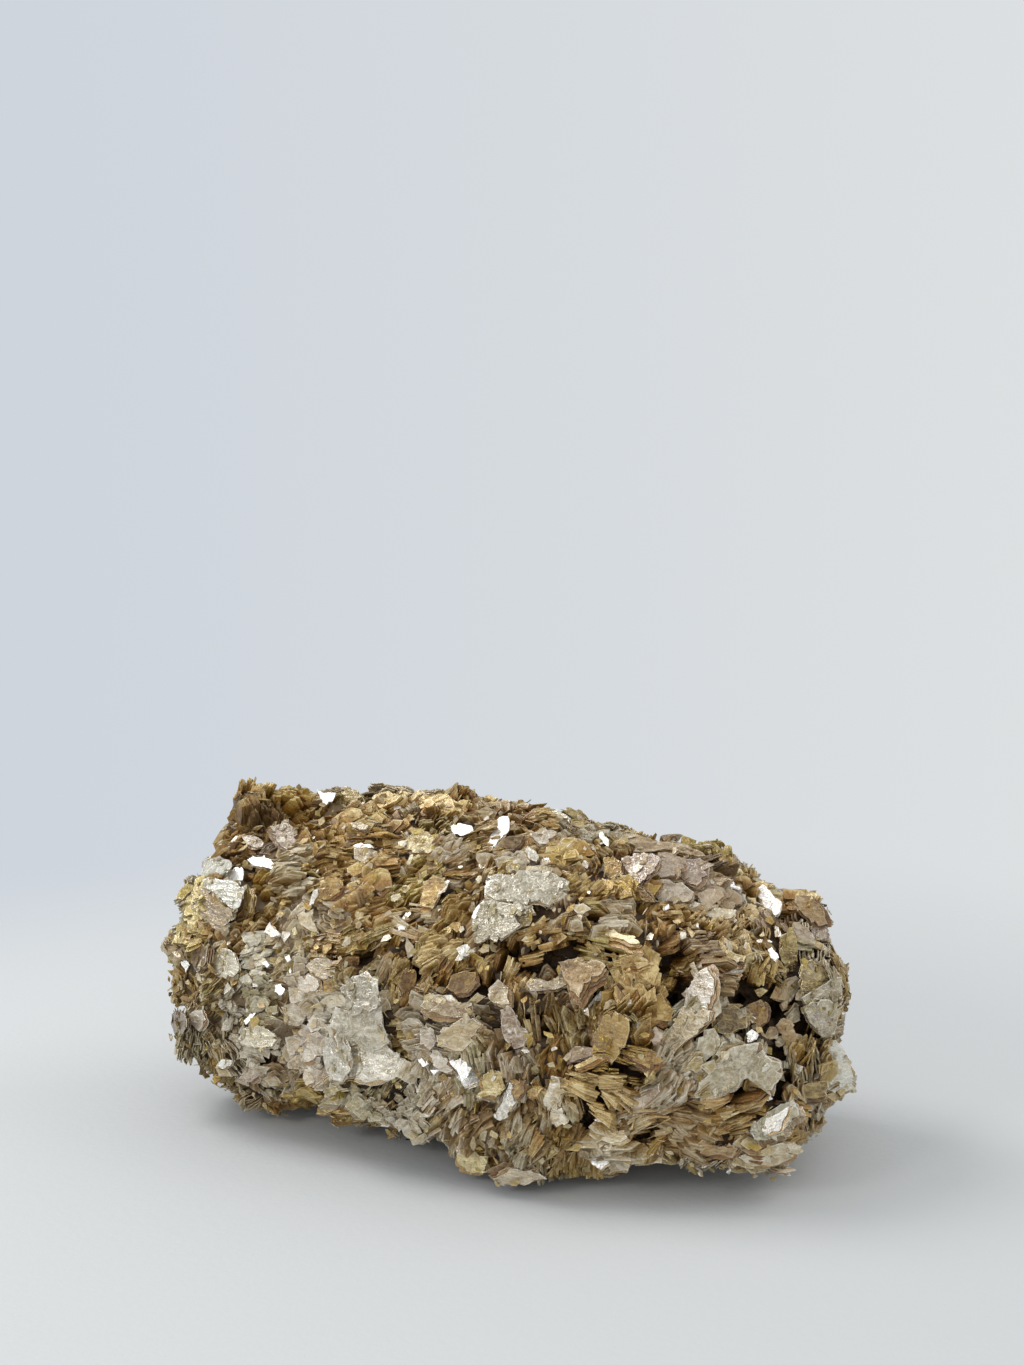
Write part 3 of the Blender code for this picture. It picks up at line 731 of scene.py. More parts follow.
def surface_points(mesh, spacing, rng, thin_out=None):
    """Points spread over the mesh and the outward normal at each; thin_out gives a point's own spacing."""
    mesh.calc_loop_triangles()
    corners = np.array([v.co for v in mesh.vertices])
    triangles = np.array([t.vertices[:] for t in mesh.loop_triangles])
    a, b, c = (corners[triangles[:, i]] for i in range(3))
    cross = np.cross(b - a, c - a)
    area = np.linalg.norm(cross, axis=1) / 2
    normals = cross / (2 * np.maximum(area, 1e-12))[:, None]
    tries = int(area.sum() / spacing**2 * TRIES)
    chosen = rng.choice(len(area), tries, p=area / area.sum())
    u, v = rng.random(tries), rng.random(tries)
    fold = u + v > 1
    u[fold], v[fold] = 1 - u[fold], 1 - v[fold]
    points = a[chosen] + u[:, None] * (b - a)[chosen] + v[:, None] * (c - a)[chosen]
    kept, cells = [], {}
    cell_size = WIDEST_SPACING if thin_out else spacing
    for i, point in enumerate(points):
        own = thin_out(point) if thin_out else spacing
        cell = tuple(int(value // cell_size) for value in point)
        near = (cells.get((cell[0] + dx, cell[1] + dy, cell[2] + dz)) for dx, dy, dz in AROUND)
        if all(((point - points[j]) ** 2).sum() > own**2 for found in near if found for j in found):
            cells.setdefault(cell, []).append(i)
            kept.append(i)
    return points[kept], normals[chosen[kept]]


def free_points(spacing, kept_clear, rng, thin_out=None):
    """Points spread over the lump where no sheet or cleft is, and the normal at each."""
    points, normals = surface_points(LUMP.data, spacing, rng, thin_out)
    free = ~np.any([lying.covers(points) for lying in kept_clear], axis=0)
    return points[free], normals[free]


def pick(rng, choices):
    """One of the names, each drawn as often as its share says."""
    draw, total = rng.random(), 0.0
    for name, share in choices:
        total += share
        if draw < total:
            return name
    return choices[-1][0]


SPINE_END = 36 * MM  # the lump's middle line runs this far to each side
SPINE_BACK = 1 * MM
SPINE_HEIGHT = 23 * MM
ROUNDNESS = 0.62  # the share of the way out from the middle line, next to the face's own normal


def outward_at(point, normal):
    """The outward direction of the lump as a whole there, part way to the face's own normal."""
    middle = Vector((max(-SPINE_END, min(SPINE_END, point[0])), SPINE_BACK, SPINE_HEIGHT))
    away = (Vector(point) - middle).normalized()
    return (away * ROUNDNESS + Vector(normal) * (1 - ROUNDNESS)).normalized()


def flow_way(degrees):
    """The way that leaf edges run, from their slope as seen from the front."""
    angle = math.radians(degrees)
    return Vector((math.cos(angle), -0.2 * math.sin(angle), math.sin(angle)))


def shaken(way, rng, amount):
    """A direction that is turned a little at random."""
    return (way + Vector(rng.normal(size=3)) * amount).normalized()


def stack_axes(facing, along):
    """The axes of a stack: as near to along as its leaves let it be, across, and the way they face."""
    along = (along - facing * along.dot(facing)).normalized()
    return [np.array(axis) for axis in (along, facing.cross(along), facing)]


Book = namedtuple("Book", "kind seed outward facing along finish tone stray proud")
FLAT_KINDS = {name for name, kind in KINDS.items() if kind.tilt[0] < 20}
RIGHT_TILTED = 0.6  # the share of books that tilt to the right of their flow


def grow_books(rng):
    """One lie, finish and tone for each book, the patch of stacks around its seed."""
    seeds, normals = surface_points(LUMP.data, BOOK_SPACING, rng)
    books = []
    for seed, normal in zip(seeds, normals):
        patch = patch_at(seed)
        kind = KINDS[patch.kind]
        outward = outward_at(seed, normal)
        flow = flow_way(patch.flow + rng.normal() * 14)
        side = flow.cross(outward).normalized() * (1 if rng.random() < RIGHT_TILTED else -1)
        if patch.kind in FLAT_KINDS:
            side.rotate(Matrix.Rotation(rng.uniform(-2.6, 2.6), 3, outward))
        tilt = math.radians(rng.uniform(*kind.tilt))
        facing = (outward * math.cos(tilt) + side * math.sin(tilt)).normalized()
        along = (flow - facing * flow.dot(facing)).normalized()
        tone = rng.uniform(*kind.tones) + patch.tone
        finish, stray = pick(rng, kind.finishes), rng.random()
        proud = max(DEEPEST_BOOK, rng.normal() * BOOK_RELIEF)
        books.append(Book(patch.kind, seed, outward, facing, along, finish, tone, stray, proud))
    tree = KDTree(len(seeds))
    for i, seed in enumerate(seeds):
        tree.insert(seed, i)
    tree.balance()
    return books, tree


class Pile:
    """Meshes of one finish that are gathered and then joined."""

    def __init__(self):
        self.verts, self.faces, self.shades, self.lies = [], [], [], []
        self.count = self.face_count = 0

    def add(self, verts, faces, shades, lies):
        """Take in one more mesh."""
        self.verts.append(verts)
        self.faces.append(faces + self.count)
        self.shades.append(shades)
        self.lies.append(lies)
        self.count += len(verts)
        self.face_count += len(faces)


COLUMN_FACES = {}


def column_faces(rings, points):
    """Triangles of a closed column of rings, with a middle point in its upper end."""
    if (rings, points) not in COLUMN_FACES:
        i = np.arange(points)
        j = (i + 1) % points
        high = rings * points
        faces = [np.stack((np.zeros(points - 2, int), j[1:-1], i[1:-1]), 1)]
        for k in range(rings - 1):
            a, b = k * points, (k + 1) * points
            faces.append(np.stack((a + i, a + j, b + j), 1))
            faces.append(np.stack((a + i, b + j, b + i), 1))
        top = (rings - 1) * points
        faces.append(np.stack((np.full(points, high), top + i, top + j), 1))
        COLUMN_FACES[rings, points] = np.concatenate(faces)
    return COLUMN_FACES[rings, points]


def outline(rng, points):
    """A torn, angular leaf about a unit circle: corners, and from 8 points a broken side between each two."""
    sides = points // 2 if points >= 8 else points
    angles = math.tau * (np.arange(sides) + rng.uniform(-0.32, 0.32, sides)) / sides + rng.random() * math.tau
    corners = np.stack((np.cos(angles), np.sin(angles)), 1) * rng.uniform(0.72, 1.35, (sides, 1))
    if sides == points:
        return corners
    breaks = (corners + np.roll(corners, -1, axis=0)) / 2 * rng.uniform(0.8, 1.3, (sides, 1))
    return np.stack((corners, breaks), 1).reshape(-1, 2)


def slab_outline(rng, points):
    """A leaf with long straight sides and torn ends, about a unit square."""
    angles = math.tau * (np.arange(points) + 0.5 * (points % 2) + rng.uniform(-0.18, 0.18, points)) / points
    corners = np.stack((np.cos(angles), np.sin(angles)), 1)
    corners = np.sign(corners) * np.abs(corners) ** (0.75, 0.4)
    return corners * (1 + rng.uniform(-0.3, 0.2, (points, 1)) * (1, 0.35))


# Where one stack stands: its axes, the last of them across its leaves; the place on the lump under it
# and the way out there; how far its top stands out, in mm; its tone; how far its hue strays; and the
# book whose edge lines run on through it, or None.
Spot = namedtuple("Spot", "axes centre outward top_at tone stray book")

# A solid stack's layers: how uneven they are for its pitch, how far they wander, how much smaller
# than the first they may be and how ragged, the last two along and across, and how their tones differ.
LAYER_PITCH = (0.35, 1.65)
LAYER_WANDER = 0.4
LAYER_SMALLER = (0.3, 0.16)
LAYER_RAGGED = (0.06, 0.03)
LAYER_TONES = 0.15


def solid_stack(pile, rng, kind, spot):
    """A tight stack: one solid of terraces, one for each bundle of leaves."""
    layers = int(rng.integers(kind.leaves[0], kind.leaves[1] + 1))
    across = rng.uniform(*kind.across)
    long = across * rng.uniform(*kind.long)
    base = slab_outline(rng, RIM_POINTS)
    steps = np.concatenate(((0,), np.cumsum(kind.pitch * rng.uniform(*LAYER_PITCH, layers))))
    steps -= steps.mean()
    walk = np.cumsum(rng.normal(size=(layers, 2)) * LAYER_WANDER, axis=0) + rng.normal(size=(layers, 2))
    shift = walk * (kind.stray_along, kind.stray_across)
    size = 1 - rng.random((layers, 2)) * LAYER_SMALLER
    rough = rng.normal(size=(layers, RIM_POINTS, 2)) * LAYER_RAGGED
    rim = np.repeat(base[None] * size[:, None] + shift[:, None] + rough, 2, axis=0) * (long / 2, across / 2)
    fan = math.radians(rng.normal() * kind.fan) / max(1, layers)
    heights = np.repeat(steps, 2)[1:-1]
    turns = np.sin(fan * np.repeat(np.arange(layers + 1), 2)[1:-1])
    bend = rng.normal(size=3) * kind.bend * (1, 0.5, 0.4)
    tones = np.repeat(spot.tone + rng.normal(size=layers) * LAYER_TONES, 2)
    x, y = rim[:, :, 0], rim[:, :, 1]
    curve = MOST_BEND * np.tanh((bend[0] * x**2 + bend[1] * y**2 + bend[2] * x * y) / MOST_BEND)
    z = heights[:, None] + x * turns[:, None] + curve
    middle = (*rim[-1].mean(axis=0), z[-1].mean())
    local = np.concatenate((np.stack((x, y, z), -1).reshape(-1, 3), (middle,)))
    finish_column(pile, rng, kind, spot, local, 2 * layers, tones)


# A loose leaf: how far its rim waves for its width, its size for its stack's and how much smaller
# the uppermost is than the lowest, its thickness for the pitch, and where its lower and its inner
# ring lie for its rim. Leaves past these widths in mm have more points.
RUFFLE = 0.025
LEAF_SIZE = (0.72, 1.0)
LEAF_TAPER = 0.25
LEAF_THICKNESS = (0.4, 0.75)
LOWER_RING, INNER_RING = 0.96, 0.6
WIDE_LEAF, MIDDLING_LEAF = 3, 1.7


def loose_stack(pile, rng, kind, spot):
    """A few separate leaves, each a thin closed plate that lies on the last."""
    count = int(rng.integers(kind.leaves[0], kind.leaves[1] + 1))
    across = rng.uniform(*kind.across)
    long = across * rng.uniform(*kind.long)
    points = 10 if across > WIDE_LEAF else 8 if across > MIDDLING_LEAF else 5
    rings = 3 if points > 5 else 2
    base = outline(rng, points)
    lean = rng.normal(size=2) * 0.16
    bend = rng.normal(size=3) * kind.bend * (1, 0.6, 0.5)
    fan = math.radians(rng.normal() * kind.fan)
    total = count * kind.pitch
    for j in range(count):
        share = (j + 0.5) / count - 0.5
        size = rng.uniform(*LEAF_SIZE) * (1 - LEAF_TAPER * share)
        rim = base * size * rng.uniform(0.9, 1.1, (points, 1)) + lean * share * 2
        rim = rim + rng.normal(size=2) * (kind.stray_along, kind.stray_across)
        rim = rim * (long / 2, across / 2)
        thick = kind.pitch * rng.uniform(*LEAF_THICKNESS)
        rims = np.stack((rim * LOWER_RING, rim, rim * INNER_RING + rng.normal(size=2) * 0.1)[:rings])
        x, y = rims[:, :, 0], rims[:, :, 1]
        lift = bend[0] * x**2 + bend[1] * y**2 + bend[2] * x * y
        lift = lift + x * math.sin(fan * share) + y * math.radians(rng.normal() * 2)
        lift = lift + rng.normal(size=(rings, points)) * RUFFLE * across * ((1,), (1,), (0.5,))[:rings]
        lift[1] = lift[0]
        z = lift + share * total + np.array((-thick / 2, thick / 2, thick / 2))[:rings, None]
        middle = (*rims[-1].mean(axis=0), thick / 2 + share * total + rng.normal() * 0.02)
        local = np.concatenate((np.stack((x, y, z), -1).reshape(-1, 3), (middle,)))
        tones = spot.tone + rng.normal() * 0.08 + np.array((0, 0, -0.06))[:rings]
        below = 0.75 * kind.pitch * (count - 1 - j) * abs(float(spot.axes[2] @ spot.outward))
        leaf_spot = spot._replace(top_at=spot.top_at - below)
        finish_column(pile, rng, kind, leaf_spot, local, rings, tones)


def finish_column(pile, rng, kind, spot, local, rings, tones):
    """Set a column in its place, with the tone of each ring and its other attributes."""
    points = len(local) // rings
    verts = local @ np.stack(spot.axes)
    rise = verts @ spot.outward
    depth = rise.max() - rise
    verts = (verts + spot.outward * (spot.top_at - rise.max())) * MM + spot.centre
    shades = np.ones((len(verts), 4), np.float32)
    shades[:, 0] = np.clip(np.append(np.repeat(tones, points), tones[-1]), 0, 1)
    shades[:, 1] = spot.stray
    # The rim values that place the painted rim highlight, weaker on leaves of only two rings.
    shades[:-1, 2] = np.repeat(np.arange(rings) % 2 * (1 if rings > 2 else 0.6), points)
    shades[-1, 2] = 0
    # Painted shade: the deeper a point lies below the stack's top, the less light its colour keeps.
    light = np.clip((spot.top_at - depth - CREVICE_FLOOR) / CREVICE_DEPTH, 0, 1)
    shades[:, 3] = 1 - kind.gloom * (1 - light)
    if spot.book:
        book = spot.book
        axes = np.array((book.along, book.facing.cross(book.along), book.facing))
        lies = (verts - book.seed) / MM @ axes.T + book.seed * BOOK_LINES_APART
    else:
        lies = local + rng.uniform(-LINES_APART, LINES_APART, 3)
    pile.add(verts, column_faces(rings, points), shades, lies.astype(np.float32))


SPLINTER_SHARE = 0.5  # the share of solid stacks that have a splinter beside them
SPLINTER = Kind(pitch=0.2, across=(1.0, 1.8), long=(1.6, 3.0), bend=0.06, gloom=0.8)
SPLINTER_TONES = (0.25, 0.6, 0.85)


def add_splinter(pile, rng, spot):
    """A single thin leaf on edge beside a stack, light or dark."""
    nudge = spot.axes[2] * rng.uniform(-1.0, 1.0) + spot.axes[0] * rng.uniform(-0.8, 0.8)
    tone = rng.choice(SPLINTER_TONES) + rng.normal() * 0.08
    top_at = min(spot.top_at + rng.uniform(-0.1, 0.3), MOST_PROUD)
    beside = spot._replace(centre=spot.centre + nudge * MM, top_at=top_at, tone=tone, book=None)
    loose_stack(pile, rng, SPLINTER, beside)


def stack_top(point, kind, book, on_border, rng):
    """How far the top of a stack stands out of the lump, in mm."""
    top_at = min(MOST_PROUD, rng.uniform(*kind.proud) + book.proud) - SUNK
    top_at -= BORDER_SUNK * rng.random() if on_border else 0
    return min(top_at, 0) if point[2] < FOOT_HEIGHT else top_at


def grow_stacks(piles, kept_clear, rng):
    """Cover the lump with stacks, each with the lie and finish of the book around it."""
    books, tree = grow_books(rng)

    def own_spacing(point):
        """The spacing of the kind that grows at a point."""
        book = books[tree.find(point)[1]]
        return KINDS[book.kind].spacing * MM

    points, normals = free_points(FIRST_SPACING, kept_clear, rng, own_spacing)
    for point, normal in zip(points, normals):
        near = tree.find_n(Vector(point) + Vector(rng.normal(size=3)) * 0.4 * MM, 2)
        gap = (near[1][2] - near[0][2]) / BOOK_SPACING  # 0 on the border between two books
        book = books[near[0][1]]
        kind = KINDS[book.kind]
        outward = (outward_at(point, normal) + book.outward).normalized()
        facing = shaken(book.facing, rng, 0.07 if kind.solid else 0.14)
        finish = book.finish
        if rng.random() < STRAY_STACKS:
            facing = shaken(facing, rng, 0.7)
            finish = pick(rng, kind.finishes)
        axes = stack_axes(facing, book.along + Vector(rng.normal(size=3)) * 0.08)
        top_at = stack_top(point, kind, book, gap < BORDER, rng)
        # Stacks right on the border between two books are darker in tone, a painted shade between the books.
        tone = book.tone + rng.normal() * 0.09 - (0.12 if gap < 0.1 else 0)
        stray = book.stray * 0.7 + rng.random() * 0.3
        spot = Spot(axes, point, np.array(outward), top_at, tone, stray, book)
        if kind.solid:
            solid_stack(piles[finish], rng, kind, spot)
            if rng.random() < SPLINTER_SHARE:
                add_splinter(piles[finish], rng, spot)
        else:
            loose_stack(piles[finish], rng, kind, spot)


CHIP_SPACING = 1.5 * MM
CHIP_COUNT = 3900
GLINT_CHIP_LEAN = 0.2  # how far a silver chip leans from the lie that mirrors a light
CHIP_FINISHES = (
    ("golden", 0.36), ("pale", 0.26), ("olive", 0.12), ("green_grey", 0.12), ("lilac", 0.08),
    ("silver", 0.06),
)
CHIP = Kind(
    pitch=0.2, across=(0.6, 1.9), long=(1.0, 2.0), proud=(-0.4, 0.3), bend=0.06, gloom=0.6,
    finishes=CHIP_FINISHES, tones=(0.2, 0.95),
)


def glint_facing(point, tree):
    """The way that a flake faces when it mirrors a light to the camera: the key, or the fill in its shade."""
    to_key = (KEY_AT - point).normalized()
    shaded = tree.ray_cast(point + to_key * 3 * MM, to_key)[0] is not None
    light = FILL_AT if shaded else KEY_AT
    return ((light - point).normalized() + (CAMERA_AT - point).normalized()).normalized()


def scatter_chips(piles, kept_clear, tree, rng):
    """Small loose flakes in and on the books, lying every way."""
    points, normals = free_points(CHIP_SPACING, kept_clear, rng)
    above = points[:, 2] > FOOT_HEIGHT
    points, normals = points[above], normals[above]
    for i in rng.permutation(len(points))[:CHIP_COUNT]:
        outward = outward_at(points[i], normals[i])
        finish = pick(rng, CHIP.finishes)
        facing = shaken(outward, rng, 0.9)
        if finish == "silver":
            facing = shaken(glint_facing(Vector(points[i]), tree), rng, GLINT_CHIP_LEAN)
        axes = stack_axes(facing, Vector(rng.normal(size=3)))
        top_at, tone, stray = rng.uniform(*CHIP.proud), rng.uniform(*CHIP.tones), rng.random()
        spot = Spot(axes, points[i], np.array(outward), top_at, tone, stray, None)
        loose_stack(piles[finish], rng, CHIP, spot)


# --- plates that stand out --------------------------------------------------------------------

# The plates that catch the eye from the front, drawn as the camera sees them in its frame of 1024
# by 1365 points. Each lies on the lump where the ray through its middle meets it. Its lie is the
# yaw and pitch of its face in degrees, or FLAT to lie along the lump, or GLINT to mirror a light.
# Then come its tone, the count of its leaves, how far each leaf steps from the one above, to the
# right and up in mm, and the crumple of its face in mm.
FLAT, GLINT, CLEFT = "flat", "glint", "cleft"
Sheet = namedtuple("Sheet", "name finish lie tone leaves step crumple outline")

SHEETS = [Sheet(*row) for row in (
    ("clear_book", "clear", (-18, 26), 0.62, 5, (-0.55, -0.75), 0.05,
     ((201, 880), (208, 877), (222, 880), (242, 885), (245, 889), (240, 906), (232, 912), (201, 887))),
    ("clear_book_top", "clear", (-50, 45), 0.45, 3, (-0.3, 0.2), 0.05,
     ((202, 861), (205, 858), (216, 856), (229, 860), (232, 866), (228, 871), (217, 879), (202, 879))),
    ("clear_book_glint", "silver", GLINT, 0.95, 1, (0, 0), 0.06,
     ((217, 877), (236, 867), (242, 867), (243, 879), (241, 885), (232, 884), (222, 880))),
    ("book_ridge", "amber", (-30, 20), 0.35, 2, (-0.1, -0.1), 0.0,
     ((200, 886), (203, 885), (234, 911), (231, 914))),
    ("shoulder_glint", "silver", GLINT, 0.95, 2, (0.2, -0.2), 0.1,
     ((247, 860), (253, 856), (267, 857), (274, 864), (275, 871), (264, 867), (253, 866))),
    ("crest_glint", "silver", GLINT, 0.95, 1, (0, 0), 0.1,
     ((317, 790), (324, 793), (336, 793), (333, 801), (326, 805), (321, 800))),
    ("crest_knob", "olive", (-20, 20), 0.5, 4, (0.3, -0.3), 0.12,
     ((333, 803), (337, 794), (348, 789), (357, 790), (362, 797), (354, 804), (341, 806))),
    ("slope_lilac", "lilac", (-10, 30), 0, 3, (-0.2, -0.3), 0.08,
     ((270, 826), (287, 823), (297, 832), (301, 844), (293, 852), (281, 846), (274, 836))),
    ("slope_lilac_small", "lilac", (-20, 35), 0.15, 2, (0.2, -0.2), 0.06,
     ((242, 837), (250, 835), (259, 838), (264, 843), (262, 847), (247, 847))),
    ("bright_lipped_plate", "pale", (0, 38), 0.15, 4, (0.1, -0.45), 0.08,
     ((353, 846), (368, 844), (378, 852), (376, 860), (365, 864), (354, 858))),
    ("lip_glint", "silver", GLINT, 0.9, 1, (0, 0), 0.05,
     ((353, 846), (362, 843), (371, 845), (374, 848), (363, 848))),
    ("crest_pale_strip", "pale", (0, 45), 0.45, 2, (0, -0.2), 0.05,
     ((350, 823), (360, 822), (369, 826), (366, 830), (354, 828))),
    ("gold_sliver", "amber", (-55, 8), 0.8, 3, (0.3, 0), 0.1,
     ((239, 919), (243, 894), (249, 888), (253, 896), (250, 913), (243, 925))),
    ("grey_flake", "pale", (5, 22), 0.55, 2, (-0.2, -0.2), 0.08,
     ((298, 914), (303, 911), (314, 919), (320, 934), (314, 932), (301, 925))),
    ("white_sliver", "silver", (10, 35), 0.45, 1, (0, 0), 0.05,
     ((309, 905), (313, 891), (319, 888), (318, 896), (312, 907))),
    ("slope_triangle", "silver", GLINT, 0.4, 2, (0.2, -0.1), 0.12,
     ((264, 933), (270, 922), (276, 930), (281, 935), (271, 938))),
    ("amber_flake", "amber", (10, 25), 0.3, 3, (0.2, -0.3), 0.1,
     ((313, 905), (320, 885), (330, 878), (343, 882), (341, 892), (327, 900))),
    ("olive_flake", "olive", (0, 45), 0.55, 3, (0.2, -0.3), 0.1,
     ((403, 848), (409, 834), (424, 829), (440, 838), (443, 847), (428, 854), (412, 853))),
    ("fan_glint", "golden", (-20, 35), 0.3, 3, (-0.3, -0.1), 0.15,
     ((420, 905), (424, 884), (434, 875), (446, 878), (442, 893), (433, 909))),
    ("ridge_glint", "silver", GLINT, 0.9, 1, (0, 0), 0.08,
     ((451, 826), (460, 823), (472, 826), (473, 833), (462, 836), (453, 833))),
    ("white_strip", "silver", GLINT, 0.95, 2, (-0.15, -0.15), 0.14,
     ((485, 847), (491, 836), (494, 830), (491, 828), (500, 817), (508, 816), (509, 831), (503, 837),
      (496, 846), (491, 852))),
    ("dark_triangle", "dusky", (28, 30), 0.3, 4, (0.35, -0.2), 0.06,
     ((493, 852), (496, 846), (504, 838), (524, 836), (520, 844), (498, 859))),
    ("crown_flake", "silver", (10, 40), 0.35, 2, (0.1, -0.2), 0.1,
     ((524, 851), (527, 846), (531, 848), (539, 857), (537, 862), (529, 859))),
    ("crown_crystal", "olive", (-5, 35), 0.3, 3, (0.1, -0.4), 0.06,
     ((499, 869), (505, 860), (516, 860), (520, 866), (515, 873), (501, 873))),
    ("crown_beige", "lilac", (10, 40), 0.55, 3, (0.2, -0.3), 0.08,
     ((530, 833), (543, 830), (557, 832), (549, 843), (540, 845), (532, 838))),
    ("crown_plate", "webbed", (7, 52), 0.4, 3, (0.1, -0.18), 0.16,
     ((488, 876), (495, 874), (516, 874), (519, 870), (528, 869), (533, 873), (546, 871), (553, 873),
      (567, 880), (570, 882), (567, 886), (567, 894), (557, 902), (549, 906), (540, 901), (533, 901),
      (526, 905), (519, 902), (497, 900), (484, 893), (487, 881))),
    ("crown_glint", "silver", GLINT, 0.95, 1, (0, 0), 0.06,
     ((494, 899), (502, 893), (508, 891), (517, 893), (519, 901), (517, 904), (506, 904))),
    ("wrinkled_plate", "webbed", (-10, 30), 0.2, 2, (0.15, -0.2), 0.35,
     ((473, 917), (480, 904), (492, 899), (506, 903), (520, 903), (523, 911), (515, 917), (520, 925),
      (506, 936), (497, 942), (488, 938), (478, 941), (474, 929))),
    # A thin strip of mica coloured pale silver, a painted highlight along the bright rim of the wrinkled
    # plate.
    ("wrinkled_rim", "silver", (-30, 40), 0.9, 1, (0, 0), 0.05,
     ((472, 918), (474, 911), (484, 901), (487, 903), (478, 912), (475, 919))),
    ("crest_green", "green_grey", (-10, 25), 0.75, 3, (0.2, -0.3), 0.1,
     ((547, 815), (556, 809), (568, 816), (570, 823), (558, 826), (549, 823))),
    ("crest_olive", "olive", (20, 25), 0.4, 3, (0.3, -0.2), 0.1,
     ((560, 809), (568, 807), (581, 810), (587, 818), (580, 824), (569, 815))),
    ("crest_cream", "silver", GLINT, 0.3, 1, (0, 0), 0.06,
     ((599, 833), (603, 832), (609, 840), (609, 847), (604, 843))),
    ("crest_amber", "amber", (0, 30), 0.3, 3, (0.3, -0.2), 0.15,
     ((603, 858), (613, 856), (622, 862), (623, 874), (613, 880), (604, 872))),
    ("rose_face_left", "rose", (-12, 38), 0.25, 3, (0.2, -0.2), 0.14,
     ((621, 858), (633, 853), (652, 853), (660, 858), (657, 868), (648, 876), (640, 884), (634, 880),
      (625, 867))),
    ("rose_face_middle", "rose", (18, 30), 0.55, 3, (0.2, -0.2), 0.14,
     ((652, 854), (670, 853), (682, 858), (684, 868), (674, 876), (660, 878), (650, 872))),
    ("rose_face_right", "rose", (5, 48), 0.2, 3, (0.1, -0.2), 0.12,
     ((680, 858), (700, 858), (709, 864), (707, 878), (697, 886), (684, 880), (676, 870))),
    ("mauve_face", "lilac", (2, 22), 0.25, 3, (0, -0.25), 0.1,
     ((641, 888), (657, 880), (682, 882), (694, 892), (691, 900), (668, 901), (652, 898))),
    ("amber_lump", "amber", (-10, 12), 0, 3, (0.2, 0.1), 0.12,
     ((624, 888), (635, 885), (645, 890), (655, 902), (638, 903), (630, 897))),
    ("slab_over_rose", "dusky", (5, 68), 0.62, 4, (0, -0.15), 0.1,
     ((612, 838), (624, 834), (640, 836), (668, 842), (690, 846), (706, 856), (690, 855), (664, 850),
      (618, 850))),
    ("shoulder_olive", "olive", (45, 35), 0.7, 3, (0.2, -0.3), 0.06,
     ((718, 854), (725, 853), (736, 866), (750, 879), (741, 880), (725, 865))),
    ("silver_bowl", "silver", (0, 42), 0.12, 5, (0.1, -0.4), 0.14,
     ((709, 893), (718, 880), (730, 881), (739, 888), (746, 895), (744, 901), (731, 906), (720, 909),
      (711, 902))),
    ("bowl_glint", "silver", GLINT, 0.98, 1, (0, 0), 0.08,
     ((716, 883), (723, 879), (733, 881), (742, 890), (736, 890), (729, 886), (721, 887))),
    ("cream_plate", "silver", GLINT, 0.75, 3, (-0.15, -0.2), 0.14,
     ((752, 887), (762, 884), (770, 891), (782, 902), (780, 913), (775, 916), (763, 904), (755, 893))),
    ("shoulder_green", "green_grey", (25, 40), 0.42, 3, (0.2, -0.3), 0.08,
     ((767, 890), (780, 887), (794, 891), (793, 901), (780, 901))),
    ("mauve_knob", "dusky", (40, 20), 0.4, 4, (0.3, -0.2), 0.12,
     ((795, 895), (814, 896), (823, 908), (828, 924), (818, 926), (805, 916), (797, 908))),
    ("mauve_knob_low", "rose", (45, 10), 0.3, 3, (0.2, -0.3), 0.1,
     ((806, 921), (820, 922), (829, 929), (826, 938), (818, 941), (811, 932))),
    ("pink_cream_block", "rose", (25, 12), 0.82, 3, (0.1, -0.3), 0.08,
     ((789, 927), (805, 925), (815, 938), (809, 951), (799, 938))),
    ("right_glint", "silver", GLINT, 1.0, 1, (0, 0), 0.02,
     ((768, 950), (772, 947), (780, 956), (776, 962), (770, 957))),
    ("shoulder_pale", "pale", (5, 45), 0.7, 2, (0, -0.3), 0.1,
     ((702, 913), (713, 908), (736, 910), (735, 917), (718, 920), (705, 917))),
    ("olive_long", "olive", (-15, 35), 0.35, 3, (0.1, -0.35), 0.08,
     ((704, 943), (718, 940), (730, 950), (746, 956), (744, 962), (724, 961), (707, 950))),
    ("olive_glass", "olive", (30, 10), 0.42, 3, (0.2, -0.1), 0.06,
     ((780, 937), (793, 931), (797, 942), (797, 962), (786, 968), (779, 953))),
    ("end_pale_top", "olive", (45, 10), 0.3, 3, (0.1, -0.2), 0.12,
     ((803, 963), (812, 959), (825, 970), (827, 985), (803, 996), (799, 977))),
    ("end_pale_low", "green_grey", (52, 5), 0.1, 3, (0.1, -0.2), 0.12,
     ((801, 998), (821, 986), (842, 977), (837, 1003), (826, 1016), (808, 1010))),
    ("end_grey", "pale", (55, 18), 0.4, 3, (0.1, -0.2), 0.1,
     ((819, 947), (829, 945), (843, 961), (846, 975), (827, 965))),
    ("end_plate", "green_grey", (48, 2), 0.2, 3, (0.1, -0.2), 0.1,
     ((803, 1007), (815, 1001), (836, 1003), (838, 1014), (834, 1034), (822, 1037), (815, 1028),
      (807, 1015))),
    ("tip_plate", "clear", (22, 8), 0.9, 3, (-0.15, -0.1), 0.08,
     ((824, 1042), (836, 1040), (843, 1049), (851, 1063), (857, 1084), (856, 1090), (837, 1095),
      (827, 1090), (828, 1067), (824, 1053))),
    ("tip_shelf", "olive", (15, 20), 0.2, 4, (0, -0.25), 0.06,
     ((794, 1090), (808, 1083), (828, 1081), (827, 1095), (809, 1098), (796, 1097))),
    ("round_pale", "dusky", (25, 10), 0.5, 2, (0.1, -0.2), 0.08,
     ((776, 1025), (783, 1018), (791, 1021), (796, 1034), (796, 1042), (789, 1046), (782, 1038))),
